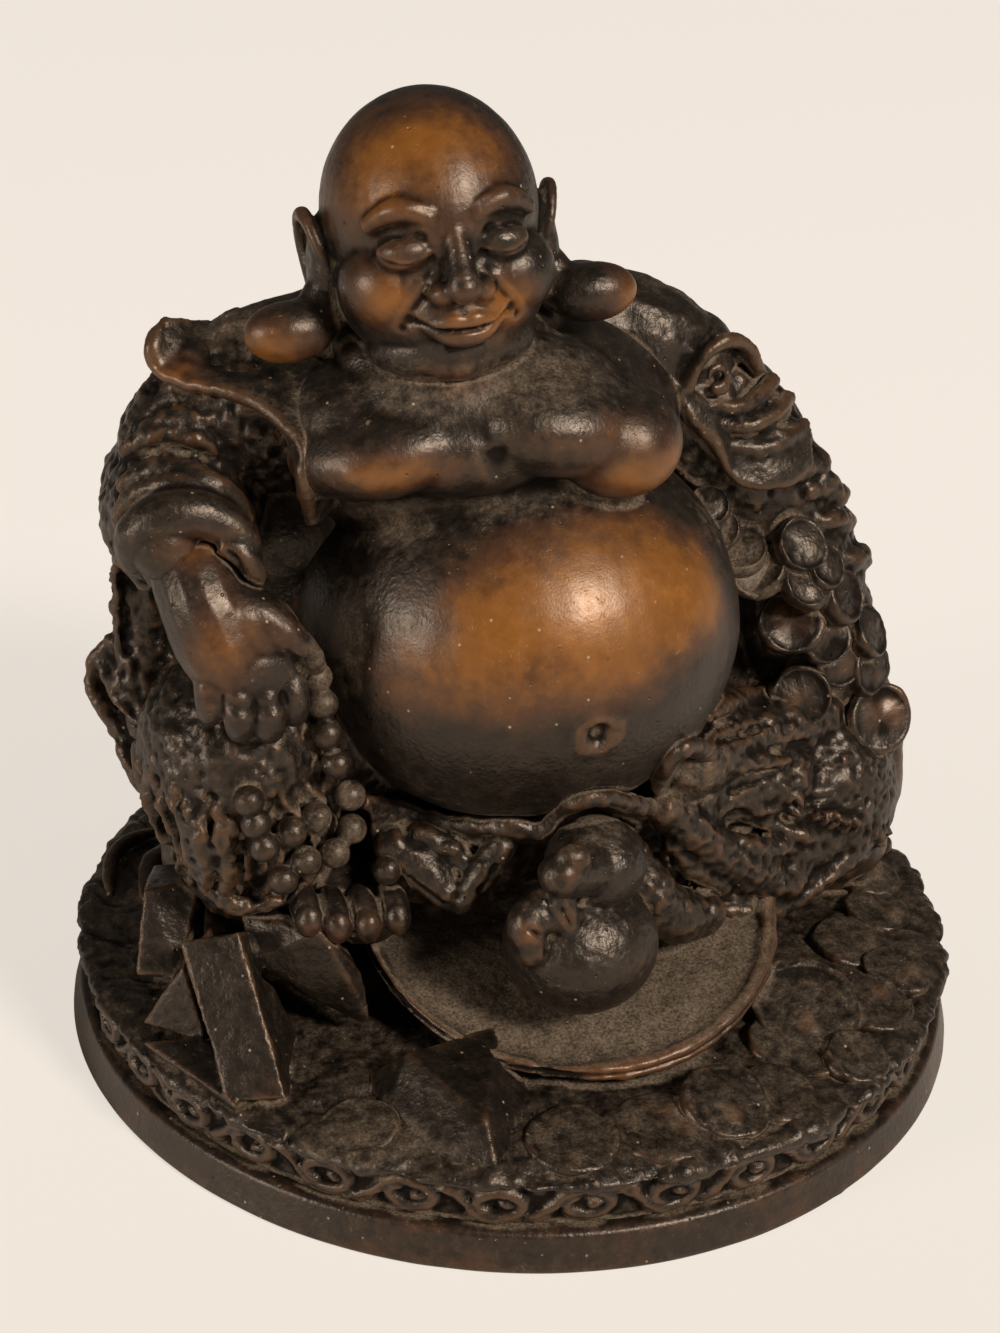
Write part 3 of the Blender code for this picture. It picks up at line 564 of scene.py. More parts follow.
shoulders = fuse("shoulders", [
    limb([(-34, 4, 126), (-46, 3, 124.6), (-54, 4, 121.6)], [9, 8, 6.4]),
    ball((-53, 4, 125.6), (8, 7, 3.6), (0, -12, 0)),
    limb([(8, 7, 125), (19, 5, 122.5), (26, 5, 119)], [11, 10.5, 9]),
    ball((-26, 6, 127), (14, 14, 7)),
    cloth(shoulder_hem, [(-48, 12, 126.4), (-50, 7, 127.6), (-50, 4, 128), (-48, 1, 128), (-44, -3, 127.6),
                         (-39, -6, 127), (-36, -9, 126), (-34, -12, 124), (-33, -14, 120), (-34, -14, 115),
                         (-35, -13, 110), (-36, -11, 104)], 2.0),
    cloth([(23.5, -7.5, 113), (26, -7.5, 111), (28.6, -7.5, 108.7), (31, -8, 104.3), (34, -8.5, 102.2),
           (41, -8, 101.5), (47, -4, 102)],
          [(20, -5, 120), (22, -4.6, 119), (25, -4.5, 117), (29, -4.5, 114), (35, -5, 111),
           (41, -4.5, 109.6), (47, -1, 108)], 2.2),
    roll([(-31, 11, 127.6), (-23, 21.5, 123.4), (-8, 25.5, 121.4), (8, 22, 121), (18, 15, 120.6)],
         [1.6, 3.2, 3.4, 3.2, 1.6]),
    roll(shoulder_hem, [0.9] + [1.25] * 10 + [0.6]),
    roll([(25, -7, 112), (28.6, -7.8, 108.7), (31, -8.4, 104.3), (34, -8.8, 102.2), (41, -8, 101.5),
          (47, -4, 102)], [0.5, 0.9, 1.0, 1.0, 0.9, 0.4]),
    cloth([(21, -6, 113), (23.4, -6.2, 118), (25, -5.6, 122), (27.6, -4.6, 124.6), (31, -3, 125.2),
           (34.6, -1.6, 123.4), (38.2, 0.6, 118)],
          [(17, 0, 116), (19, 1, 120), (21, 2, 122.4), (25, 2.4, 123.6), (29, 3, 123.4), (33, 4, 121),
           (36, 5, 117)], 2.2),
    roll([(23.4, -6.2, 118), (25, -5.6, 122), (27.6, -4.6, 124.6), (31, -3, 125.2), (34.6, -1.6, 123.4),
          (38.2, 0.6, 118)], [0.7, 1.1, 1.3, 1.3, 1.1, 0.6]),
    roll([(27.6, -4.6, 115.2), (32, -5.4, 114.4), (37, -2.2, 114.6), (41, 1.4, 116.4)],
         [0.8, 1.5, 1.6, 1.2]),
    roll([(29.2, -5.6, 111.8), (33.6, -6.6, 111.4), (38.6, -4.4, 112), (44, 1.6, 112.8)],
         [0.8, 1.5, 1.6, 1.2]),
    roll([(31.2, -7, 108.4), (36, -7, 107.4), (41.6, -5, 108), (47, 0, 108.6)], [0.8, 1.5, 1.7, 1.2]),
], 0.5, 3, 120000)
roughen(shoulders, 5, 0.4, 8)
roughen(shoulders, 1.5, 0.14, 33)

# %% [markdown]
# The right sleeve is pushed up into rings above a broad, smooth, turned-back cuff, and a tongue of
# cloth hangs beside it with a curl at its end. The forearm and hand rest on the raised knee.

# %% Right sleeve
sleeve = fuse("right_sleeve", [
    limb([(-46, 4, 116), (-56, 2, 110), (-59, -1, 103.5)], [15, 12.6, 11]),
    limb([(-58, 4, 102), (-60, -9, 102), (-59, -16, 102.5)], [13, 12.5, 10]),
    limb([(-64, 2, 94), (-64.5, 1, 80), (-64.5, -2, 66), (-62, -8, 50)], [6, 5.5, 5.5, 4.5]),
    roll([(-66.1, -4.8, 114.4), (-63.4, -5.4, 117), (-59.9, -6.7, 118.4), (-54.7, -8.7, 118.6)], 1.9),
    roll([(-68.5, -4.2, 111), (-65.9, -5.3, 114.2), (-61, -7.6, 116.5), (-57.2, -9.1, 116),
          (-53.6, -9.6, 113.4)], 1.9),
    roll([(-69.7, -11.3, 109.4), (-66.8, -13, 112.1), (-61.8, -15.9, 113.8), (-57.2, -20.8, 113.8),
          (-53.5, -20.4, 110.5), (-50.9, -20.2, 106.2)], 2.0),
    roll([(-71, -16.2, 105.5), (-68.3, -17, 110), (-64.9, -19.1, 112.7), (-60.5, -21.4, 113.8),
          (-55.9, -21.5, 111.2), (-52.6, -22.5, 107.5)], 1.9),
    roll([(-68.8, -8, 99), (-68.6, 0, 85), (-68.6, -0.5, 77), (-67, -1.7, 67)], 1.8),
    roll([(-70.6, 0.1, 77.4), (-73.8, 2.4, 71), (-73.2, 0, 66.5), (-70.4, -2.2, 61.5), (-69, -5.8, 57.2),
          (-66, -8, 49)], 1.5),
    cloth([(-70.6, 0.1, 77.4), (-73.8, 2.4, 71), (-73.2, 0, 66.5), (-70.4, -2.2, 61.5), (-69, -5.8, 57.2),
           (-66, -8, 49)], [(-63, 5, 81), (-64, 7, 73), (-64, 6, 67), (-63, 4, 61), (-62, 1, 56),
                            (-60, -3, 48)], 1.8),
    cloth([(-73, 0.5, 71.5), (-71.6, -3, 69.4), (-70, -6, 67), (-67, -8.6, 64.6), (-64.4, -10, 64)],
          [(-70, 2, 78), (-69, -2, 77), (-68, -4, 74), (-66, -5, 70), (-64, -6, 68)], 1.3),
    cloth([(-70, -10, 100), (-70.6, -4, 90), (-70.4, -3, 80), (-69, -4, 70), (-67, -7, 63)],
          [(-64, 2, 98), (-65, 3, 88), (-65, 2, 78), (-64, 1, 70), (-62, 0, 62)], 1.6),
    roll([(-68.6, -22, 102), (-67.4, -24, 107.5), (-62.2, -25, 110.6), (-56.6, -25.5, 109.4),
          (-53, -26.5, 106), (-52.4, -27, 101.5)], [3.4, 4.3, 4.1, 3.6, 3.0, 2.0]),
    ball((-64.5, -25.5, 105.5), (5.2, 4.2, 5.6), (0, -20, 0)),
    roll([(-56.5, -28, 106.6), (-53, -28.6, 104.6), (-51.4, -28.4, 101.6), (-51, -27, 98.8)],
         [1.5, 2.0, 1.9, 1.2]),
], 0.48, 3, 150000)
strokes(sleeve, 0.8, -0.8,
        [(-62.5, -29.4, 104.4), (-58, -30.4, 107), (-54.6, -30, 105.2), (-52.8, -29.6, 101.6)])
WORN_CUFF = np.array([-60, -25, 106.0])


def off_the_cuff(points):
    """0 where hands have worn the cuff smooth, rising to 1 a centimetre or so from it."""
    return np.clip(np.linalg.norm(points - WORN_CUFF, axis=1) / 6 - 1.6, 0, 1)


roughen(sleeve, 2.4, 0.55, 9, where=off_the_cuff)
roughen(sleeve, 1.2, 0.34, 10, where=off_the_cuff)

# %% Right hand
hand_forms = [
    limb([(-60.5, -21, 102.5), (-59.6, -27, 98.6), (-57.0, -29.6, 92), (-54.6, -30.0, 87)],
         [6.6, 7.0, 7.8, 7.2]),
    ball((-53, -31.2, 87), (9.4, 6.2, 7.2), (0, 12, 0)),
    ball((-52.4, -30.4, 93.4), (8.6, 5.8, 6.4), (0, 32, 0)),
    limb([(-55, -29.5, 97), (-50.4, -32.2, 95.4), (-46.4, -33.4, 92.2), (-43.4, -32.4, 88.6),
          (-42.4, -31.4, 86.6)], [4.4, 3.6, 2.8, 2.3, 1.8]),
]
finger_ends = ((-59.2, -33.4, 82.6), (-55.0, -35.6, 80.4), (-50.6, -35.8, 79.8), (-46.6, -33.8, 81.4))
for x, y, z in finger_ends:
    hand_forms.append(roll([(x - 0.4, y + 2.2, z + 7), (x, y - 0.6, z + 2.4), (x + 0.2, y - 0.2, z - 1.0),
                            (x + 0.5, y + 3, z - 3.0)], [2.3, 2.6, 2.4, 1.8]))
hand = fuse("right_hand", hand_forms, 0.36, 7, 90000)
for (x, y, z), (x2, y2, z2) in zip(finger_ends, finger_ends[1:]):
    a, b, c = (x + x2) / 2, (y + y2) / 2, (z + z2) / 2
    strokes(hand, 0.8, -0.5, [(a - 0.3, b - 1.2, c + 4.6), (a, b - 1.8, c + 1), (a + 0.2, b + 0.4, c - 2.2)])
strokes(hand, 1.1, -1.0, [(-47.6, -35.2, 92.4), (-45.6, -34.6, 89.4), (-45, -33, 86)])
strokes(hand, 1.6, -0.5,
        [(-60.4, -36.6, 85.6), (-56.4, -38.4, 84.2), (-51.6, -38.4, 83.4), (-47.6, -36.6, 84.2)])
roughen(hand, 7, 0.3, 11)
roughen(hand, 1.6, 0.05, 30)

# %% [markdown]
# The left sleeve is longer and hangs in a stack of rings beside the sack, whose dark rolled mouth
# opens above the coins. One small scroll is carved near the shoulder.

# %% Left sleeve
left_sleeve = fuse("left_sleeve", [
    limb([(18, 10, 116), (32, 8, 105), (42, 8, 91), (48, 6, 76), (52, 6, 60)], [15, 14.6, 14.2, 14.4, 15.5]),
    roll([(30.2, -5.9, 109.5), (33.8, -5.5, 110.5), (38.3, -2.8, 111.4), (41.5, -0.7, 111.7), (44, 8, 111)],
         2.3),
    roll([(32.2, -6.4, 105.9), (35.8, -6, 106.5), (40.6, -3.9, 107.1), (43.6, -1.6, 107.8), (46.5, 8, 107)],
         2.3),
    roll([(41.9, -5.8, 100.9), (46.6, -2.5, 101.5), (50.5, 1.5, 100.4), (52, 9, 99)], 2.3),
    roll([(46.3, -4.4, 97.6), (51.3, -1.1, 97.2), (54, 0.3, 94.5), (55.5, 8, 93)], 2.3),
    roll([(49.5, -4.6, 91.8), (53.6, -2, 90.7), (57, 3, 88), (57.5, 10, 86)], 2.3),
    roll([(54, -4, 84), (58.5, -1, 83), (61, 4, 80), (61, 11, 78)], 2.3),
    roll([(26.6, -6.4, 119.8), (27.4, -6, 121.4), (29.4, -5, 121.2), (30, -5, 119.2), (28.8, -5.4, 117.6),
          (27.6, -6, 118.6)], 1.0),
], 0.5, 3, 150000)
roughen(left_sleeve, 2.6, 0.5, 12)
roughen(left_sleeve, 1.2, 0.25, 13)

# %% [markdown]
# The legs: the right knee is raised, its robe falling in long folds to the bare toes, and the left
# leg lies across the front. Its cloth is brocade, and the weave is worn to low lumps and curls.

# %% Legs
right_leg = fuse("right_leg", [
    limb([(-20, 6, 56), (-38, -8, 62), (-49, -18, 64)], [20, 17, 12.5]),
    limb([(-53, -18, 66), (-50.5, -18, 56), (-50, -17, 46)], [16, 16, 13]),
    roll([(-64.8, -9.2, 66), (-64.8, -18.3, 64.5), (-64.2, -27, 63.5), (-62.4, -30.1, 57),
          (-61, -29.2, 46.9)], 1.7),
    roll([(-59.9, -27, 64.7), (-61, -31.2, 60), (-60, -31.7, 53), (-60, -29.7, 46)], 1.7),
    roll([(-57.1, -33, 65.2), (-57.5, -33.6, 58), (-56.6, -33, 52), (-57, -31, 45.5)], 1.6),
    roll([(-60.5, -28.4, 46.5), (-57.1, -31.1, 44.5), (-52.9, -31.7, 43.5), (-47.9, -32, 44.5)], 1.6),
    limb([(-40, -6, 46), (-20, -4, 44), (0, -3, 43), (20, -6, 42)], [12, 10.5, 10, 11]),
], 0.5, 3, 150000)
fall = [((-53, -18, 66), 16.2), ((-50.8, -18, 58), 16.4), ((-50.2, -17.4, 50), 15), ((-50, -17, 43), 12)]


def down_the_limb(axis, angle, sway):
    """A fold's path: it runs down the limb at an angle round it, in degrees, swaying a little."""
    path = []
    for number, (centre, radius) in enumerate(axis):
        a = math.radians(angle + sway * math.sin(number * 1.7 + angle))
        path.append((centre[0] + radius * math.sin(a), centre[1] - radius * math.cos(a), centre[2]))
    return path


for fold in range(8):
    strokes(right_leg, 1.3, 1.9, down_the_limb(fall, -96 + fold * 19, 9), fade=0.3)
    strokes(right_leg, 1.2, -1.7, down_the_limb(fall, -87 + fold * 19, 7), fade=0.3)
for x in range(-26, 16, 6):
    strokes(right_leg, 1.9, 1.9, [(x + 2, -20, 47), (x, -23, 42), (x - 2, -23, 36), (x - 1, -20, 31)],
            fade=0.3)
    strokes(right_leg, 1.5, -1.2, [(x + 5, -20, 47), (x + 3, -23, 42), (x + 1.4, -23, 36), (x + 2, -20, 31)],
            fade=0.3)
roughen(right_leg, 3.2, 0.35, 14)
roughen(right_leg, 1.2, 0.34, 15)
left_leg = fuse("left_leg", [
    limb([(14, 14, 44), (34, 6, 44), (50, -2, 40)], [22, 21, 19]),
    limb([(52, -4, 38), (40, -11, 36), (26, -14, 36)], [17, 14, 12]),
    roll([(22.2, -32, 71.4), (28, -22, 67.5), (34, -15, 64.5), (40.8, -10.5, 61.4), (44.5, -10, 59.1)], 1.9),
    roll([(29, -22, 56.5), (35.5, -17.5, 54.5), (41.2, -15.5, 54.8), (47, -13.5, 56)], 1.9),
    roll([(18, -28.1, 49.3), (23.2, -28.7, 47.2), (29.6, -28.2, 44.3), (38, -25.5, 40.5), (46, -21, 38)],
         2.1),
    roll([(24.2, -25.4, 50.5), (31, -24, 49.3), (37.2, -22.8, 47), (46.6, -18.5, 45.4)], 1.9),
    roll([(27.8, -29, 31.5), (35.9, -28, 29.2), (43, -23.5, 27), (50, -21.5, 30), (56, -19, 32.5),
          (66, -11.5, 32)], 1.9),
    limb([(8, -33, 50), (12, -36, 42), (19, -34.5, 35), (24.5, -33, 33.5)], [3.5, 5, 5, 3.5]),
    limb([(16.5, -30.5, 54), (22.5, -29.5, 47.4), (29, -27.5, 41), (38, -25, 34)], [3.4, 4.2, 4.6, 4.0]),
    limb([(24, -24, 38), (33, -23, 34.5), (42, -20, 32)], [5.5, 6, 6]),
    limb([(18, -31.6, 47), (22, -31, 42), (28, -29.6, 37)], [1.8, 2.4, 2.0]),
    limb([(22, -26, 60), (30, -20, 59), (40, -14, 57.5), (50, -8, 56)], [6.5, 6, 6, 6]),
    limb([(20, -25, 50), (30, -20, 50), (42, -15, 49)], [6, 6.5, 7]),
    roll([(21, -33.4, 66), (26, -26, 64), (33, -22, 61.6), (40, -19, 59.4), (48, -15, 58)],
         [1.6, 2.0, 1.8, 1.6, 0.8]),
    roll([(22, -31, 61), (28, -27.4, 59), (35, -24, 57.2), (42, -21, 55)], [1.2, 1.8, 1.6, 0.8]),
    roll([(31, -24, 47), (38, -22.6, 44), (45, -22.6, 40.6), (52, -20, 37)], [0.9, 1.7, 1.7, 0.9]),
], 0.5, 3, 170000)
for fold in range(7):
    x, z = 22 + 1.0 * fold, 66 - 5.2 * fold
    strokes(left_leg, 1.1, -1.3,
            [(x, -32, z), (x + 8, -25, z - 2.5), (x + 17, -20.5, z - 3.4), (x + 27, -16, z - 6)], fade=0.3)
strokes(left_leg, 1.4, 1.0,
        *[[(30 + 3.4 * k, -27 + k, 36 - 0.6 * k), (34 + 3.2 * k, -24 + k, 33 - 0.6 * k),
           (40 + 3 * k, -22 + k, 31)] for k in range(5)])
curls = []
for k in range(52):
    x = 27 + 38 * ((k * 0.618) % 1)
    z = 30 + 24 * ((k * 0.382 + 0.13) % 1)
    y = -24 + 0.011 * (x - 36) ** 2 + 0.16 * abs(z - 38)
    curl = []
    for t in range(7):
        reach = 2.2 - 0.22 * t
        curl.append((x + reach * math.cos(t * 1.1 + k), y, z + reach * math.sin(t * 1.1 + k)))
    curls.append(curl)
roughen(left_leg, 3.4, 0.4, 16)
strokes(left_leg, 0.7, 0.9, *curls, fade=0.1)
roughen(left_leg, 1.1, 0.32, 17)

# %% [markdown]
# Four bare toes show under the robe, a sash is knotted below the belly, and a string of round beads
# runs from the hand over the knee. Toes are stretched balls with the nails pressed in. Each bead
# is a ball half sunk in the robe, and their skin is kept apart from the robe's, so they stay round.

# %% Foot
toe_places = [(-43.8, -31, 41.4), (-39.2, -32.2, 40.6), (-34.4, -32.8, 40.6), (-29.6, -32.8, 41.4)]
foot_forms = [ball((-36, -21, 39), (9, 13, 5.6), (18, 0, 24))]
for x, y, z in toe_places:
    foot_forms += [ball((x, y + 0.6, z), (2.45, 5.4, 3.7), (14, 0, 8)),
                   ball((x + 0.1, y - 2.6, z - 0.6), (2.35, 2.5, 3.0))]
foot = fuse("right_foot", foot_forms, 0.34, 3, 80000)
for x, y, z in toe_places:
    strokes(foot, 0.5, -0.35,
            [(x - 1.5, y - 4.0, z + 1.6), (x - 1.4, y - 2.6, z + 3.2), (x + 0.2, y - 2.0, z + 3.9),
             (x + 1.6, y - 2.8, z + 3.2), (x + 1.6, y - 4.2, z + 1.6)], fade=0.02)
roughen(foot, 1.6, 0.1, 18)

# %% Sash and bow
sash = fuse("sash", [
    roll([(-33.9, -27, 58.5), (-26.3, -24, 54.1), (-19.9, -26.5, 52.8), (-15.3, -31, 54.5), (-11, -35, 56),
          (-6, -36, 55.5), (-3.7, -38, 59.8), (-1.8, -41.2, 63.6), (1.9, -41.2, 64), (6.1, -38, 61),
          (11, -34, 57), (15, -31, 54.5)], [1.2] + [1.7] * 10 + [1.2]),
    roll([(14.6, -32, 58), (13.6, -37, 66), (15.4, -38, 69.5), (20, -34, 67), (25, -28, 62), (29.1, -23, 58),
          (32.1, -20, 55)], 1.8),
    cloth([(-33, -27, 57.5), (-26, -25, 53.4), (-20, -27, 52), (-15, -31, 53.5), (-11, -34, 55),
           (-6, -35, 54.5)], [(-30, -22, 41), (-25, -23, 38), (-20, -24, 37), (-16, -24, 37.6),
                              (-12, -24, 37), (-6, -26, 39)], 2.2),
    limb([(-26, -26, 50), (-25.4, -26.4, 44), (-24, -25.4, 38.4)], [2.4, 2.8, 1.8]),
    limb([(-8, -30, 50), (-9, -28, 44), (-11, -26, 38)], [2.6, 3.2, 2.0]),
    limb([(-29, -28, 50), (-24, -30.5, 46.5), (-20.5, -32.5, 43), (-18.6, -33.5, 41)], [3.0, 3.8, 3.2, 1.8]),
    limb([(-12, -33, 51), (-15.5, -34, 46.5), (-18.4, -35, 42.4)], [2.6, 2.8, 1.9]),
    limb([(-24.5, -28, 51.6), (-19, -30.5, 49), (-16, -32.5, 46)], [2.2, 2.4, 1.6]),
    cloth([(1.9, -41.2, 64), (6.1, -38, 61), (11, -34, 57), (15, -31, 54.5), (19, -31, 51)],
          [(2, -34, 60), (7, -31, 55), (11, -29, 50), (15, -28, 47), (20, -27, 45)], 2.0),
    cloth([(14.6, -32, 58), (13.6, -37, 66), (15.4, -38, 69.5), (20, -34, 67), (25, -28, 62),
           (29.1, -23, 58)], [(20, -24, 54), (20, -27, 60), (22, -27, 63), (25, -24, 61), (28, -21, 58),
                              (31, -18, 55)], 1.8),
], 0.4, 3, 90000)
strokes(sash, 0.9, -0.7, [(-30, -30.6, 48.6), (-25, -33.6, 45), (-21, -35, 42)],
        [(-13, -35.6, 49.5), (-16.4, -36.6, 45)])
roughen(sash, 1.8, 0.3, 19)

# %% Beads
bead_places = [(-56.5, -26, 67), (-55, -31, 66.4), (-52.7, -36.4, 62), (-51.4, -36.6, 57.7),
               (-46.9, -35.6, 59.4), (-42.6, -33.6, 60.4), (-36.9, -32, 62.9), (-36.1, -29.5, 55),
               (-44.5, -35, 53.3), (-39.2, -31.6, 52), (-48.4, -36, 50.8), (-30.5, -31, 47.5),
               (-53.7, -36, 66), (-41.5, -27, 82), (-40.8, -28.6, 78), (-40.4, -30.4, 73.6),
               (-39, -31.5, 68.6)]
beads = fuse("beads", [ball(place, 2.5) for place in bead_places], 0.34, 2, 60000)

# %% [markdown]
# In front lies a round hat, brim up, holding a double gourd with a stopper and a knotted tie. The
# hat is spun like a plate, with a thick rolled rim; the gourd is two balls and a neck.

# %% Gourd
gourd = fuse("gourd", [
    ball((-1.2, -45.2, 39.0), (12.7, 12.2, 11.2)),
    ball((1.2, -43, 52.5), (8.2, 8.2, 7.8)),
    roll([(-0.5, -45, 45), (0.5, -44, 48)], [6, 5.6]),
    limb([(0, -46, 54), (-7, -51.5, 57)], [5, 3.6]),
    small_ring((-7.2, -52.6, 57.2), 2.3, 0.8, (-0.3, -0.9, 0.4)),
    ball((-5.5, -51.6, 59.6), (3.0, 2.4, 2.6)),
    limb([(-2, -49.4, 47.6), (-6, -50.4, 48.4), (-9.6, -50.4, 48.4)], [2.2, 2.6, 2.8]),
    limb([(-9.4, -49.6, 50.4), (-11.8, -50.4, 47.4), (-11.2, -51.6, 43.6)], [2.4, 3.4, 2.8]),
    roll([(-7, -50.6, 54), (-6.4, -51.4, 50.6), (-5.4, -51.6, 46.8), (-4.8, -51.8, 43.4)],
         [1.6, 2.2, 2.0, 1.2]),
], 0.4, 4, 110000)
strokes(gourd, 0.8, -0.8, [(-12.8, -53.6, 48.8), (-9.6, -54, 46.4), (-9.4, -54, 43.6)],
        [(-7.6, -53.4, 52.2), (-5.4, -54, 48.4)])
dabs(gourd, ((-7.6, -53.8, 57.4), 1.6, -1.2))
roughen(gourd, 6, 0.25, 20)
roughen(gourd, 1.2, 0.1, 21)

# %% Hat
hat_profile = [(0, -13), (20, -11), (33.4, -2.4), (35.4, -1.3), (36.1, -0.6), (36.4, 0.1), (36.2, 0.5),
               (35.7, 0.45), (35.9, 0.9), (35.9, 1.4), (35.4, 1.8), (34.6, 1.75), (34.0, 1.35), (33.4, 0.9)]
hat_profile += [(r, 0.6 - 0.02 * (33 - r) ** 1.45) for r in np.arange(32.6, 8, -0.6)] + [(0, -2.2)]
hat = wheel("hat", hat_profile, 400)
hat.data.transform(Matrix.Translation(Vector((3, -22.5, 31.0)) * MM) @ turned((17.5, -1, 0)))
hat.data.update()
made_pieces.append(hat)
roughen(hat, 13, 0.9, 22)
roughen(hat, 2.2, 0.22, 23)
roughen(hat, 0.9, 0.08, 31)
print("hat", len(hat.data.polygons) * 2, "triangles")

# %% [markdown]
# Coins spill from the sack down the side and lie on the ground. One bare coin is spun with a raised
# rim and a dished face, then copied to each place, turned to face its own way and bent a little by
# noise, as if pressed into soft wax. Plain ingots, sharp-edged slabs, are heaped on the other side,
# and behind them the ground curls up in two ridges.

# %% Coins
coin_profile = [(0, -1.0), (0.92, -1.0), (0.98, -0.8), (1.0, -0.3), (1.0, 0.2), (0.98, 0.62), (0.94, 0.88),
                (0.89, 0.97), (0.84, 0.92), (0.78, 0.84), (0.5, 0.9), (0, 1.0)]
coin_places = [
    ((-7.5, -68.2, 17.5), 7.8, (0.02, -0.07, 1)), ((7.6, -67.6, 17.3), 8.2, (-0.02, -0.06, 1)),
    ((18.9, -65.2, 18.9), 7.4, (0.1, -0.32, 1)), ((28.6, -63, 17.3), 7.0, (0.08, -0.1, 1)),
    ((39.5, -45, 20.6), 9.4, (-0.05, -0.42, 1)), ((36.5, -51, 18.2), 8.6, (0, -0.2, 1)),
    ((55.6, -24.8, 17.9), 7.2, (0.05, -0.05, 1)), ((52.4, -43, 18.1), 7.4, (0.1, -0.15, 1)),
    ((44.5, -57, 17.8), 5.6, (0.1, -0.25, 1)), ((61, -34, 17.6), 6.6, (0.1, -0.05, 1)),
    ((66.4, -5, 18.1), 6.4, (0.1, -0.05, 1)), ((64.5, -16, 17.7), 6.4, (0.1, 0, 1)),
    ((70, 8, 17.4), 6.0, (0.1, 0, 1)), ((-40, -58, 17.0), 6.6, (-0.1, -0.1, 1))]
coin_places += [
    ((43.5, -10.5, 76), 5.8, (-0.2, -1, 0.9)), ((46, -13, 62.8), 5.6, (-0.3, -1, 0.4)),
    ((62.4, -9.6, 55.2), 6.4, (0.2, -1, 0.45)), ((63.2, -8, 51.6), 6.0, (0.3, -1, 0.2)),
    ((59.7, -6.5, 71), 5.2, (0.8, -0.6, 0.6)),
    ((60.2, -7.5, 64.5), 5.2, (0.6, -0.8, 0.3)), ((34, -8.4, 89.6), 4.8, (-0.2, -0.6, 1)),
    ((36, -9.6, 86), 4.6, (0.1, -0.9, 0.5)), ((50, -10.6, 73), 5.0, (0.2, -1, 0.5)),
    ((53.6, -9.6, 67.5), 5.0, (0.3, -1, 0.3)),
    ((27.4, -9.4, 98.4), 3.8, (-0.3, -0.8, 0.8)), ((30.4, -8.6, 93.6), 3.6, (-0.5, -0.7, 0.6)),
    ((38, -8.5, 85.5), 5.2, (-0.6, -0.4, 0.8)),
    ((44.6, -9.2, 90), 5.0, (0.3, -0.9, 0.8)), ((45, -11.4, 84), 4.8, (0.4, -0.9, 0.8)),
    ((53, -9.6, 80), 4.8, (0.6, -0.8, 0.5)), ((49, -9.6, 86), 4.2, (0.5, -0.8, 0.6)),
    ((68, -2, 44), 6.0, (0.9, -0.4, 0.2))]
coin_forms = []
for centre, radius, facing in coin_places:
    one_coin = wheel("coin", coin_profile, 56)
    aim = Vector(facing).to_track_quat("Z", "Y").to_matrix().to_4x4()
    thickness = 1.0 if centre[2] < 22 else 1.5
    shape = aim @ Matrix.Diagonal((radius, radius, thickness, 1))
    one_coin.data.transform(Matrix.Translation(Vector(centre) * MM) @ shape)
    coin_forms.append(one_coin)
coins = join(coin_forms)
coins.name = coins.data.name = "coins"
cut = coins.modifiers.new("cut", "SUBSURF")
cut.subdivision_type = "SIMPLE"
cut.levels = cut.render_levels = 1
apply(coins, "cut")
roughen(coins, 4, 0.6, 24)
roughen(coins, 1.3, 0.14, 25)
made_pieces.append(coins)
print("coins", len(coin_places), "with", len(coins.data.polygons) * 2, "triangles")

# %% Ingots
def block(corners):
    """The smallest block round the corners."""
    shape = bmesh.new()
    for corner in corners:
        shape.verts.new(Vector(corner) * MM)
    bmesh.ops.convex_hull(shape, input=shape.verts)
    mesh = bpy.data.meshes.new("block")
    shape.to_mesh(mesh)
    shape.free()
    made = bpy.data.objects.new("block", mesh)
    bpy.context.scene.collection.objects.link(made)
    return made


def slab(corners, thickness):
    face = [Vector(corner) for corner in corners]
    back = (face[1] - face[0]).cross(face[3] - face[0]).normalized() * thickness
    return block(face + [corner + back for corner in face])


ingots = fuse("ingots", [
    slab([(-64.5, -32.6, 38.6), (-55.4, -35, 41), (-50.4, -51.4, 19.4), (-59.8, -49, 18.4)], 8),
    block([(-69, -20, 41), (-60, -20, 41), (-71, -25, 28), (-64, -27, 28), (-66, -8, 38), (-57, -8, 38),
           (-68, -12, 18), (-58, -12, 18)]),
    block([(-64, -30, 32), (-70.5, -28, 20), (-61, -35, 20), (-58, -22, 34), (-57, -30, 18),
           (-66, -20, 18)]),
    block([(-71, -31, 18.6), (-61, -35, 21), (-58.4, -51, 18.6), (-56, -40, 21), (-70, -30, 15.5),
           (-58, -50, 15.5)]),
    block([(-54, -27, 39), (-51, -22, 39), (-39, -26, 35), (-42, -36, 40), (-53, -33, 34), (-41, -35.5, 31),
           (-35, -35, 30), (-34, -38, 22.5), (-36, -37, 22), (-46, -33, 27), (-46, -20, 26)]),
    block([(-30.8, -50.6, 25), (-21.3, -66.2, 22.4), (-20.7, -73.2, 16.6), (-10, -57, 16.5), (-15, -45, 24),
           (-36, -56.5, 16.8), (-29, -68.3, 16.2), (-36, -46, 18), (-24, -50, 15), (-22, -70, 15)]),
    block([(-53, -31, 31), (-49, -31, 27), (-45.5, -33, 18), (-49.5, -46, 17), (-51.5, -46, 17),
           (-54, -34, 17), (-47, -26, 17)]),
    roll([(-71.4, 15, 17.4), (-71, 21, 18), (-69.6, 26.4, 18.6), (-66, 30.4, 19), (-60, 33, 19)],
         [0.7, 1.3, 1.5, 1.4, 0.8]),
    cloth([(-66, 10, 18.4), (-66.4, 15, 19.6), (-65, 20, 20.6), (-62, 23.4, 21), (-57, 26, 21)],
          [(-60, 10, 16), (-60, 15, 16.5), (-59, 18, 17), (-57, 20, 17), (-54, 21, 17)], 1.6, -2),
], 0.42, 2, 150000)
roughen(ingots, 5, 0.3, 26)
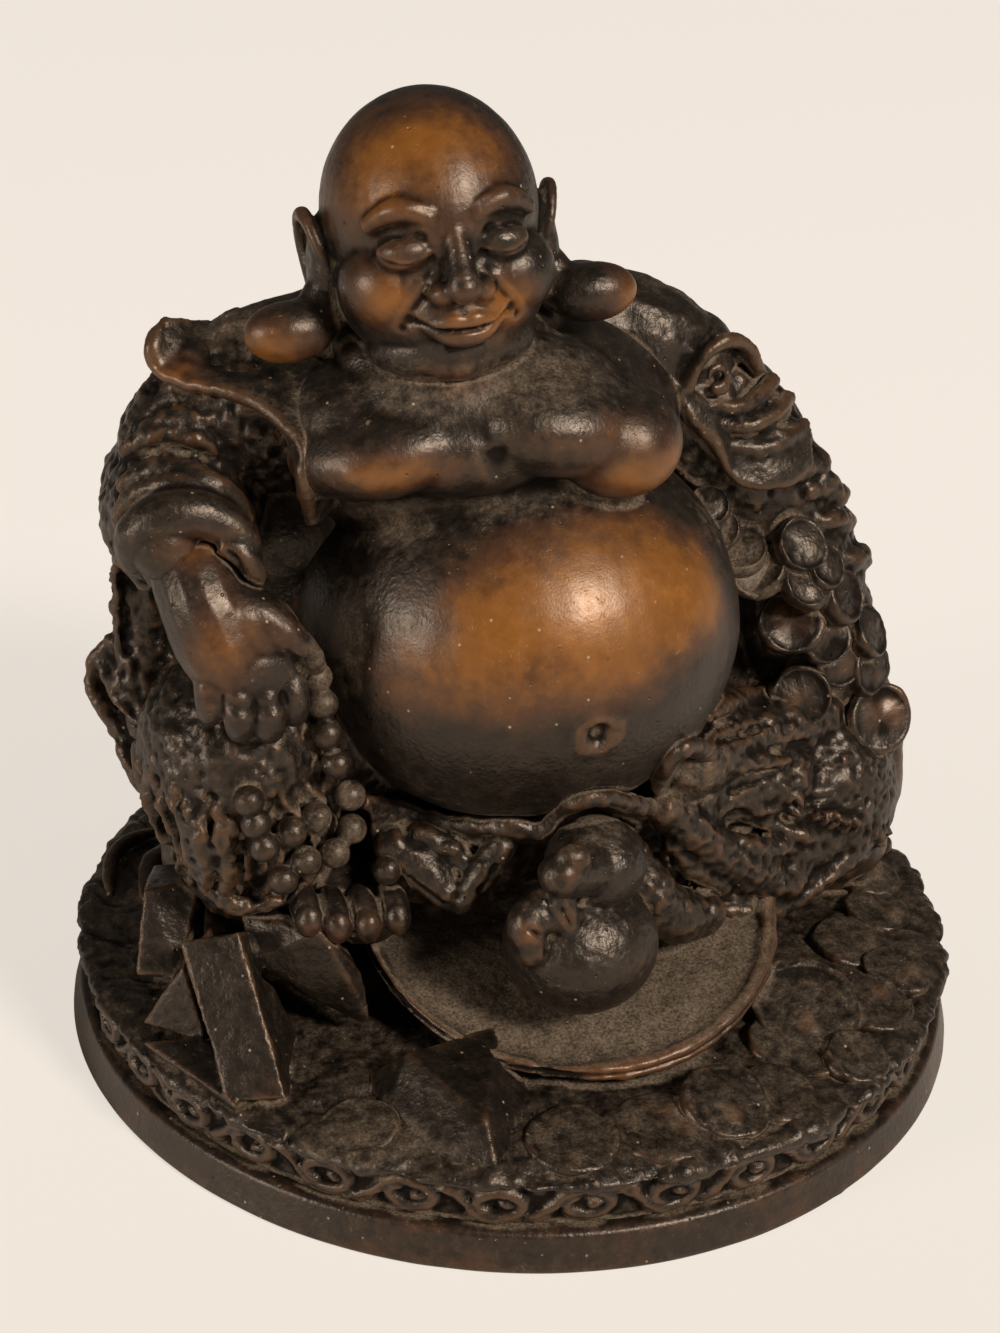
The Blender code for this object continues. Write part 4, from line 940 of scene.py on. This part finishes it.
roughen(ingots, 1.3, 0.08, 27)

# %% [markdown]
# Old bronze is dark where nobody touches it, warm brown where hands rub it, and grey with dust in
# its hollows; the deepest hollows also get painted shade. To paint that we need to know, at each
# point of the surface, how hollow its place is and how sharp. How hollow: the whole statue is filled
# with small cubes, the cubes are blurred, and each point reads how full the air just outside it is.
# How sharp: each point is set against the average of its neighbours, and deep hollows lower that
# number further, as painted shade.

# %% How full the space is
CUBE = 0.9
low = np.array([-84.0, -84.0, -4.0])
counts = [int(side / CUBE) for side in (168, 168, 180)]
solid = np.zeros(counts, np.float32)
down = Vector((0, 0, -1))
graph = bpy.context.evaluated_depsgraph_get()
for piece in made_pieces:
    tree = BVHTree.FromObject(piece, graph)
    points, _ = surface(piece)
    first = np.maximum(((points.min(0) - low) / CUBE).astype(int) - 1, 0)
    last = np.minimum(((points.max(0) - low) / CUBE).astype(int) + 2, counts)
    top = (points.max(0)[2] + 1) * MM
    for i in range(first[0], last[0]):
        x = (low[0] + (i + 0.5) * CUBE) * MM
        for j in range(first[1], last[1]):
            y = (low[1] + (j + 0.5) * CUBE) * MM
            start = Vector((x, y, top))
            depth = 0
            enter = 0
            for _ in range(24):
                spot, facing, _, _ = tree.ray_cast(start, down)
                if spot is None:
                    break
                if facing.z > 0:
                    if depth == 0:
                        enter = spot.z
                    depth += 1
                else:
                    depth -= 1
                    if depth == 0:
                        bottom_cell = int((spot.z / MM - low[2]) / CUBE)
                        top_cell = int((enter / MM - low[2]) / CUBE)
                        solid[i, j, bottom_cell:top_cell + 1] = 1
                start = spot + down * 0.00001
solid[:, :, :int((0 - low[2]) / CUBE)] = 1
print("filled share of the box", round(float(solid.mean()), 3))


def blurred(grid, reach):
    """The mean of a cube of cells reach mm wide to each side, done three times for a round blur."""
    cells = max(1, int(round(reach / CUBE)))
    for axis in (0, 1, 2):
        padded = np.concatenate([np.repeat(np.take(grid, [0], axis), cells + 1, axis), grid,
                                 np.repeat(np.take(grid, [-1], axis), cells, axis)], axis)
        total = np.cumsum(padded, axis=axis, dtype=np.float64)
        width = 2 * cells + 1
        upper = np.take(total, np.arange(width, width + grid.shape[axis]), axis)
        lower = np.take(total, np.arange(0, grid.shape[axis]), axis)
        grid = ((upper - lower) / width).astype(np.float32)
    return grid


def sample(grid, points):
    place = np.clip((points - low) / CUBE - 0.5, 0, np.array(counts) - 1.001)
    cell = place.astype(int)
    part = place - cell
    total = np.zeros(len(points))
    for corner in range(8):
        step = np.array([corner & 1, corner >> 1 & 1, corner >> 2 & 1])
        at = cell + step
        total += np.where(step, part, 1 - part).prod(axis=1) * grid[at[:, 0], at[:, 1], at[:, 2]]
    return total


filled_near = blurred(blurred(solid, 1.2), 1.2)

# %% [markdown]
# Where hands polish it is a matter of taste and of the real one: the belly above all, the breast,
# the crown, cheeks and ear lobes, the back of the hand and the cuff. Each is a ball of influence
# with a centre, a size and a strength.

# %% Where hands rub
RUBBED = [
    # Belly
    ((-1, -40, 97), (16, 14, 10), 0.75), ((12, -35, 97), (12, 12, 10), 0.62),
    ((-15, -38, 98), (13, 12, 9), 0.42), ((-4, -44, 88), (16, 12, 8), 0.42),
    ((-20, -41, 88), (12, 12, 9), 0.4), ((19, -32, 93), (8, 13, 9), 0.34),
    ((-29, -35, 84), (8, 10, 10), 0.22), ((2, -32, 107), (17, 8, 4), 0.24),
    # Breast and the fold of flesh beside it
    ((12, -29, 116), (11, 10, 5.5), 0.66), ((-2, -33, 115), (9, 8, 4), 0.2),
    ((-31, -31, 117.4), (11, 8, 4.6), 0.5), ((-3, -30, 123), (16, 8, 4), 0.28),
    # Crown
    ((-24, -20, 163), (16, 14, 11), 0.5), ((-33, -12, 158), (9, 14, 11), 0.3),
    # Cheeks, tip of the nose and chin
    ((-31, -23, 142), (6, 8, 6), 0.62), ((-13, -26, 142), (6, 8, 6), 0.62),
    ((-21, -30, 141.5), (4, 4, 4), 0.4), ((-22, -27, 130), (8, 6, 4), 0.3),
    # Ear lobes
    ((-46, -13, 132.5), (8, 6, 5), 0.62), ((8, -12, 137), (6, 6, 5), 0.6),
    # Cuff and hand
    ((-59, -26, 107.5), (9, 8, 5), 0.55), ((-56, -37, 95), (7, 9, 8), 0.36),
    ((-60, -35, 90), (4, 8, 9), 0.2), ((-48, -36, 94), (6, 6, 5), 0.16),
    # Shoulder and upper sleeve
    ((-60, -4, 125), (6, 9, 4), 0.4), ((-54, -18, 115), (10, 8, 4), 0.15),
    # Coins
    ((63, -12, 57), (6, 5, 5), 0.4), ((43, -14, 78), (5, 5, 4), 0.5), ((46, -14, 64), (7, 6, 5), 0.15),
    ((54, -12, 82), (5, 5, 4), 0.15),
    # Toes
    ((-37, -38, 40), (13, 7, 4), 0.12),
    # Gourd
    ((-6, -55, 59), (4, 5, 3), 0.3), ((-12, -53, 48), (3.5, 4, 3.5), 0.3), ((7, -56, 41), (7, 6, 6), 0.22),
    # Slab, toes again, brim of the hat and left knee
    ((-52, -49, 20), (5, 5, 4), 0.3), ((-40, -37, 38), (7, 4, 5), 0.1), ((2, -58, 21), (36, 6, 4), 0.2),
    ((26, -35, 47), (12, 6, 6), 0.2),
]
RUB_GAIN = 2.1
RUB_WIDTH = 0.88
# How much more or less a whole piece is worn than the rest
WEAR = {"ground": -0.3, "ingots": -0.22, "coins": -0.06, "base_band": -0.26, "base_ring": 0.18, "hat": 0.04,
        "right_sleeve": -0.12, "left_sleeve": -0.14, "right_leg": -0.26, "left_leg": -0.12,
        "robe_back": -0.12, "sash": -0.1, "gourd": -0.1, "shoulders": -0.06, "beads": -0.16, "trunk": -0.05}
# An edge that stands this far out of its surroundings, in mm, counts as fully sharp
FULL_EDGE = 0.16
# Dust settles on level ground and in the hat, and round the hand, the breast and the bow
DUSTY = {"ground": 0.42, "hat": 0.8, "coins": 0.5, "ingots": 0.12, "gourd": 0.5, "shoulders": 0.4,
         "trunk": 0.2}
SETTLED = [
    # Round the hand and the right side of the belly
    ((-41, -28, 92), (8, 9, 16), 0.8), ((-34, -22, 105), (14, 9, 5), 0.62),
    # Under the breast and beside it
    ((-10, -30, 109.5), (26, 9, 3), 0.5), ((-40, -14, 116), (6, 9, 10), 0.62),
    # Shoulder and upper chest
    ((-44, 0, 129), (14, 12, 5), 0.6), ((-14, -24, 129), (26, 12, 6), 0.6),
    # Bow, coins and beads
    ((16, -30, 60), (12, 9, 8), 0.6), ((33, -12, 84), (9, 7, 14), 0.6), ((-38, -33, 58), (14, 6, 9), 0.6),
    # Ground, hat and left side
    ((-32, -60, 17), (22, 9, 3), 0.6), ((-18, -28, 31), (12, 14, 5), 0.8),
    ((27, -20, 101), (8, 10, 8), 0.4),
]


def neighbours_mean(piece, values, rounds):
    """Each point's value set to the mean of its own and its neighbours', a few times over."""
    edges = np.empty(len(piece.data.edges) * 2, np.int32)
    piece.data.edges.foreach_get("vertices", edges)
    a, b = edges[0::2], edges[1::2]
    count = np.bincount(edges, minlength=len(values)) + 1.0
    for _ in range(rounds):
        columns = []
        for column in np.atleast_2d(values.T):
            total = column + np.bincount(a, column[b], len(column)) + np.bincount(b, column[a], len(column))
            columns.append(total / count)
        values = np.array(columns).T if values.ndim > 1 else columns[0]
    return values


def reach_of(points, centre, size):
    """How far each point is from the centre of an oval patch: 1 at its edge."""
    return np.linalg.norm((points - np.array(centre, float)) / np.array(size, float), axis=1)


def paint(piece, name, values):
    """Stores one number for each point of the mesh, for the material to read."""
    layer = piece.data.attributes.new(name, "FLOAT", "POINT")
    layer.data.foreach_set("value", values.astype(np.float32))


for piece in made_pieces:
    points, out = surface(piece)
    hollow = sample(filled_near, points + out * 1.6)
    soft = neighbours_mean(piece, points, 6)
    sharp_and_shade = np.einsum("ij,ij->i", points - soft, out)
    # Deep in a hollow the number drops further: that part is painted shade, which the material turns
    # near-black and less shiny.
    sharp_and_shade = neighbours_mean(piece, sharp_and_shade, 1) - 0.14 * np.clip((hollow - 0.5) / 0.3, 0, 1)
    rub = np.zeros(len(points))
    for centre, size, strength in RUBBED:
        rub += RUB_GAIN * strength * np.exp(-(reach_of(points, centre, size) / RUB_WIDTH) ** 2)
    rub = 1 - np.exp(-rub)
    level = np.clip((out[:, 2] - 0.7) / 0.25, 0, 1)
    crease = np.clip((hollow - 0.24) / 0.24, 0, 1) * np.clip((0.78 - hollow) / 0.2, 0, 1)
    dust = crease + DUSTY.get(piece.name, 0.1) * level
    for centre, size, strength in SETTLED:
        dust = np.maximum(dust, strength * np.clip(1.5 - reach_of(points, centre, size), 0, 1))
    paint(piece, "rub", np.clip(rub, 0, 1) + WEAR.get(piece.name, 0))
    paint(piece, "dust", np.clip(dust - 0.5 * rub, 0, 1))
    edge_share = 0.4 if piece.name in ("ground", "base_ring") else 1
    paint(piece, "sharp_and_shade", np.clip(sharp_and_shade / FULL_EDGE, -1, 1) * edge_share)
    print(piece.name, "hollow", np.percentile(hollow, [5, 50, 95]).round(2), "sharp_and_shade",
          np.percentile(sharp_and_shade, [5, 50, 95]).round(3))

# %% [markdown]
# One finish covers the whole casting: an old-bronze patina over resin. It is a plastic at heart, so
# it is not metallic; its highlights are pale and broad. The near-black coat wears to red brown
# and then to warm bronze where the rub and sharp numbers are high, dust greys the hollows, grime and
# painted shade blacken the deepest of them, and the surface is full of fine pits, scratches and pale
# chips about a third of a millimetre across.

# %% Colours and a node helper
def linear(hex_colour):
    parts = [int(hex_colour[k:k + 2], 16) / 255 for k in (1, 3, 5)]
    return (*[p / 12.92 if p <= 0.04045 else ((p + 0.055) / 1.055) ** 2.4 for p in parts], 1)


def node(tree, kind, inputs=None, give=None, **settings):
    """Adds a node. An input is a constant or another node's output; give names the output it hands back."""
    made = tree.nodes.new(kind)
    for key, value in settings.items():
        setattr(made, key, value)
    for key, value in (inputs or {}).items():
        if isinstance(value, bpy.types.NodeSocket):
            tree.links.new(value, made.inputs[key])
        else:
            made.inputs[key].default_value = value
    return made if give is None else made.outputs[give]


def per_mm(size):
    """A texture scale whose pattern repeats about every size mm, on coordinates in metres."""
    return 1 / (size * MM)


# %% Bronze patina: patterns
patina = bpy.data.materials.new("old bronze patina on resin")
patina.use_nodes = True
tree = patina.node_tree
shader = tree.nodes["Principled BSDF"]
where = node(tree, "ShaderNodeTexCoord", give="Object")
rub = node(tree, "ShaderNodeAttribute", give="Fac", attribute_name="rub")
dust = node(tree, "ShaderNodeAttribute", give="Fac", attribute_name="dust")
sharp_and_shade = node(tree, "ShaderNodeAttribute", give="Fac", attribute_name="sharp_and_shade")
# Blotches a centimetre wide, mottle of 2 mm, leather of 0.9 mm and specks of half a millimetre
blotch = node(tree, "ShaderNodeTexNoise",
              {"Vector": where, "Scale": per_mm(12), "Detail": 4, "Roughness": 0.6}, "Fac")
mottle = node(tree, "ShaderNodeTexNoise",
              {"Vector": where, "Scale": per_mm(2.4), "Detail": 5, "Roughness": 0.65}, "Fac")
leather = node(tree, "ShaderNodeTexNoise",
               {"Vector": where, "Scale": per_mm(0.9), "Detail": 2, "Roughness": 0.5}, "Fac")
speck = node(tree, "ShaderNodeTexNoise",
             {"Vector": where, "Scale": per_mm(0.5), "Detail": 3, "Roughness": 0.7}, "Fac")
# Fine scratches: thin bright bands where a warped noise crosses its middle value
warp = node(tree, "ShaderNodeTexNoise",
            {"Vector": where, "Scale": per_mm(1.9), "Detail": 1.5, "Distortion": 1.2}, "Fac")
cross = node(tree, "ShaderNodeMath", {0: warp, 1: 0.5}, 0, operation="SUBTRACT")
cross = node(tree, "ShaderNodeMath", {0: cross}, 0, operation="ABSOLUTE")
scratch = node(tree, "ShaderNodeMapRange", {"Value": cross, "From Min": 0.012, "From Max": 0.0}, "Result")
some = node(tree, "ShaderNodeMapRange", {"Value": mottle, "From Min": 0.53, "From Max": 0.62}, "Result")
scratch = node(tree, "ShaderNodeMath", {0: scratch, 1: some}, 0, operation="MULTIPLY")
# Pits and chips: round spots in some of the cells of a 2.4 mm cell pattern
cells = node(tree, "ShaderNodeTexVoronoi", {"Vector": where, "Scale": per_mm(2.4)})
tint = node(tree, "ShaderNodeSeparateColor", {"Color": cells.outputs["Color"]}, "Red")
spot = node(tree, "ShaderNodeMapRange",
            {"Value": cells.outputs["Distance"], "From Min": 0.13, "From Max": 0.05}, "Result")
chosen = node(tree, "ShaderNodeMapRange", {"Value": tint, "From Min": 0.84, "From Max": 0.87}, "Result")
chip = node(tree, "ShaderNodeMath", {0: spot, 1: chosen}, 0, operation="MULTIPLY")
pitted = node(tree, "ShaderNodeMapRange", {"Value": tint, "From Min": 0.3, "From Max": 0.27}, "Result")
pit = node(tree, "ShaderNodeMath", {0: spot, 1: pitted}, 0, operation="MULTIPLY")

# %% Bronze patina: colour
# How worn: the rub number, broken up by the blotches and the mottle, and a little more on edges
worn = node(tree, "ShaderNodeMath", {0: blotch, 1: 0.8, 2: rub}, 0, operation="MULTIPLY_ADD")
worn = node(tree, "ShaderNodeMath", {0: mottle, 1: 0.36, 2: worn}, 0, operation="MULTIPLY_ADD")
worn = node(tree, "ShaderNodeMath", {0: sharp_and_shade, 1: 0.14, 2: worn}, 0, operation="MULTIPLY_ADD")
worn = node(tree, "ShaderNodeMath", {0: worn, 1: 0.58}, 0, operation="SUBTRACT")
depth = node(tree, "ShaderNodeMapRange", {"Value": mottle, "From Min": 0.36, "From Max": 0.68}, "Result")
dark = node(tree, "ShaderNodeMix", {0: depth, 6: linear("#0d0a08"), 7: linear("#201913")}, 2,
            data_type="RGBA")
# From the near-black coat to red brown, to warm brown and to bare bronze colour
coat = dark
for start, full, colour in ((0.16, 0.5, "#3b2517"), (0.42, 0.85, "#714619"), (0.8, 1.15, "#965f22")):
    share = node(tree, "ShaderNodeMapRange", {"Value": worn, "From Min": start, "From Max": full}, "Result",
                 interpolation_type="SMOOTHSTEP")
    coat = node(tree, "ShaderNodeMix", {0: share, 6: coat, 7: linear(colour)}, 2, data_type="RGBA")
# Edges wear to brown, and the hollows are painted near-black: partly grime, partly painted shade where light
# hardly reaches
rim = node(tree, "ShaderNodeMath", {0: mottle, 1: 0.5, 2: sharp_and_shade}, 0, operation="MULTIPLY_ADD")
rim = node(tree, "ShaderNodeMapRange", {"Value": rim, "From Min": 0.62, "From Max": 1.3, "To Max": 0.38},
           "Result")
edged = node(tree, "ShaderNodeMix", {0: rim, 6: coat, 7: linear("#5e4129")}, 2, data_type="RGBA")
grime_and_painted_shade = node(tree, "ShaderNodeMapRange",
             {"Value": sharp_and_shade, "From Min": -0.15, "From Max": -0.8, "To Max": 0.8}, "Result")
grimy_and_shaded = node(tree, "ShaderNodeMix", {0: grime_and_painted_shade, 6: edged, 7: linear("#0e0b09")}, 2, data_type="RGBA")
# Pale dust and lint settle where the dust number is high
settled = node(tree, "ShaderNodeMath", {0: mottle, 1: 0.9, 2: dust}, 0, operation="MULTIPLY_ADD")
settled = node(tree, "ShaderNodeMapRange", {"Value": settled, "From Min": 0.66, "From Max": 1.45}, "Result",
               interpolation_type="SMOOTHSTEP")
grains = node(tree, "ShaderNodeMapRange",
              {"Value": speck, "From Min": 0.36, "From Max": 0.62, "To Min": 0.25}, "Result")
settled = node(tree, "ShaderNodeMath", {0: settled, 1: grains}, 0, operation="MULTIPLY")
lint = node(tree, "ShaderNodeMath", {0: dust, 1: 0.6, 2: 0.16}, 0, operation="MULTIPLY_ADD")
lint = node(tree, "ShaderNodeMath", {0: scratch, 1: lint}, 0, operation="MULTIPLY")
powder = node(tree, "ShaderNodeMath", {0: settled, 1: 0.7, 2: lint}, 0, operation="MULTIPLY_ADD",
              use_clamp=True)
dusted = node(tree, "ShaderNodeMix", {0: powder, 6: grimy_and_shaded, 7: linear("#80705e")}, 2, data_type="RGBA")
chips = node(tree, "ShaderNodeMath", {0: chip, 1: 0.7}, 0, operation="MULTIPLY")
painted = node(tree, "ShaderNodeMix", {0: chips, 6: dusted, 7: linear("#a8967c")}, 2, data_type="RGBA")
tree.links.new(painted, shader.inputs["Base Color"])

# %% Bronze patina: gloss and relief
gloss = node(tree, "ShaderNodeMapRange",
             {"Value": worn, "From Min": 0.2, "From Max": 1.0, "To Min": 0.36, "To Max": 0.3}, "Result")
gloss = node(tree, "ShaderNodeMath", {0: settled, 1: 0.35, 2: gloss}, 0, operation="MULTIPLY_ADD")
gloss = node(tree, "ShaderNodeMath", {0: depth, 1: 0.1, 2: gloss}, 0, operation="MULTIPLY_ADD")
gloss = node(tree, "ShaderNodeMath", {0: grime_and_painted_shade, 1: 0.3, 2: gloss}, 0, operation="MULTIPLY_ADD")
tree.links.new(gloss, shader.inputs["Roughness"])
# Light hardly reaches the hollows, so they shine less
glint = node(tree, "ShaderNodeMapRange",
             {"Value": sharp_and_shade, "From Min": -0.6, "From Max": 0.1, "To Min": 0.1, "To Max": 0.55}, "Result")
tree.links.new(glint, shader.inputs["Specular IOR Level"])
shader.inputs["Specular Tint"].default_value = linear("#fae8d6")
coarse = node(tree, "ShaderNodeMapRange",
              {"Value": worn, "From Min": 0.0, "From Max": 0.6, "To Min": 1.0, "To Max": 0.14}, "Result")
relief = node(tree, "ShaderNodeMath", {0: leather, 1: coarse}, 0, operation="MULTIPLY")
for pattern, height in ((speck, 0.22), (mottle, 0.18), (pit, -1.2), (scratch, -0.25)):
    relief = node(tree, "ShaderNodeMath", {0: pattern, 1: height, 2: relief}, 0, operation="MULTIPLY_ADD")
bump = node(tree, "ShaderNodeBump", {"Height": relief, "Strength": 0.8, "Distance": 0.2 * MM}, "Normal")
tree.links.new(bump, shader.inputs["Normal"])
print("patina has", len(tree.nodes), "nodes")

# %% [markdown]
# Every piece now gets the finish and smooth shading, rides on the statue's one body, and stands
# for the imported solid.

# %% Dress the statue
for piece in made_pieces:
    piece.data.materials.clear()
    piece.data.materials.append(patina)
    pick(piece)
    bpy.ops.object.shade_smooth()
    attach(piece, "root")
    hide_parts("statue")
triangles = sum(sum(len(face.vertices) - 2 for face in piece.data.polygons) for piece in made_pieces)
print(len(made_pieces), "pieces,", triangles, "triangles")

# %% [markdown]
# The statue stands on plain cream paper in soft light: a large box to the right in front, a weaker
# one to the left, and an even white sky. The levels are set so that a colour renders as written.
# The paper as the camera sees it is painted a little darker towards the front: painted shade.

# %% Floor and light
bpy.ops.object.select_all(action="DESELECT")
bpy.ops.mesh.primitive_plane_add(size=8)
floor = bpy.context.object
floor.name = "floor"
paper = bpy.data.materials.new("cream paper")
paper.use_nodes = True
sheet = paper.node_tree.nodes["Principled BSDF"]
sheet.inputs["Base Color"].default_value = linear("#f4eee7")
sheet.inputs["Roughness"].default_value = 0.9
sheet.inputs["Specular IOR Level"].default_value = 0.1
# The paper as the camera sees it is painted a little darker towards the front: painted shade.
spot = node(paper.node_tree, "ShaderNodeTexCoord", give="Object")
along = node(paper.node_tree, "ShaderNodeSeparateXYZ", {"Vector": spot}, "Y")
along = node(paper.node_tree, "ShaderNodeMapRange", {"Value": along, "From Min": -0.22, "From Max": 0.15},
             "Result")
cream_with_painted_shade = node(paper.node_tree, "ShaderNodeMix", {0: along, 6: linear("#ede5da"), 7: linear("#f6ede3")}, 2,
             data_type="RGBA")
shine = node(paper.node_tree, "ShaderNodeEmission", {"Color": cream_with_painted_shade, "Strength": 1.0}, "Emission")
seen = node(paper.node_tree, "ShaderNodeLightPath", give="Is Camera Ray")
part = node(paper.node_tree, "ShaderNodeMath", {0: seen, 1: 0.8}, 0, operation="MULTIPLY")
both = node(paper.node_tree, "ShaderNodeMixShader", {0: part, 1: sheet.outputs["BSDF"], 2: shine}, "Shader")
paper.node_tree.links.new(both, paper.node_tree.nodes["Material Output"].inputs["Surface"])
floor.data.materials.append(paper)

sky = bpy.data.worlds.new("even white sky")
sky.use_nodes = True
bpy.context.scene.world = sky
behind = sky.node_tree.nodes["Background"]
behind.inputs["Color"].default_value = linear("#fff3e4")
behind.inputs["Strength"].default_value = 0.11
shown = node(sky.node_tree, "ShaderNodeBackground", {"Color": linear("#f6ede3"), "Strength": 1.0},
             "Background")
eye = node(sky.node_tree, "ShaderNodeLightPath", give="Is Camera Ray")
mixed = node(sky.node_tree, "ShaderNodeMixShader", {0: eye, 1: behind.outputs["Background"], 2: shown},
             "Shader")
sky.node_tree.links.new(mixed, sky.node_tree.nodes["World Output"].inputs["Surface"])
MIDDLE = Vector((0, 0, 0.08))


def softbox(name, azimuth, height, far, size, watts):
    """A square lamp, by its azimuth from the front (above 0 is to the right) and height in degrees."""
    a, e = math.radians(azimuth), math.radians(height)
    away = Vector((math.sin(a) * math.cos(e), -math.cos(a) * math.cos(e), math.sin(e)))
    place = away * far + MIDDLE
    lamp = bpy.data.lights.new(name, "AREA")
    lamp.shape = "SQUARE"
    lamp.size = size
    lamp.energy = watts
    lamp.color = linear("#fff4e8")[:3]
    holder = bpy.data.objects.new(name, lamp)
    aim = (place - MIDDLE).to_track_quat("Z", "Y").to_matrix().to_4x4()
    holder.matrix_world = Matrix.Translation(place) @ aim
    bpy.context.scene.collection.objects.link(holder)


softbox("right box", 31, 38, 4, 0.75, 185)
softbox("left box", -72, 14, 4, 0.9, 84)

# %% [markdown]
# The camera looks down at the statue from its right front with a medium lens, rolled a little, so
# that it frames the statue as the photograph does. Its size is taken to be 1000 by 1333.

# %% Camera
# The place comes from the round base's ellipse and the outline of the figure in the picture
azimuth, elevation, tilt = (math.radians(d) for d in (-15, 28.09, 2.55))
FAR, SIDEWAYS, UPWARDS = 463.18, -4.45, 57.96
FOCAL_PIXELS = 2500
PICTURE_TALL = 1333
level_share = math.cos(elevation)
back = Vector((math.sin(azimuth) * level_share, -math.cos(azimuth) * level_share, math.sin(elevation)))
right = Vector((math.cos(azimuth), math.sin(azimuth), 0))
up = back.cross(right)
sideways = right * math.cos(tilt) + up * math.sin(tilt)
upright = up * math.cos(tilt) - right * math.sin(tilt)
eye = (back * FAR + right * SIDEWAYS + up * UPWARDS) * MM
lens = bpy.data.cameras.new("camera")
lens.sensor_width = 36
lens.lens = FOCAL_PIXELS / PICTURE_TALL * lens.sensor_width
lens.clip_start = 0.01
camera = bpy.data.objects.new("camera", lens)
turn = Matrix((sideways, upright, back)).transposed().to_4x4()
camera.matrix_world = Matrix.Translation(eye) @ turn
bpy.context.scene.collection.objects.link(camera)
bpy.context.scene.camera = camera
bpy.context.scene.view_settings.view_transform = "Standard"
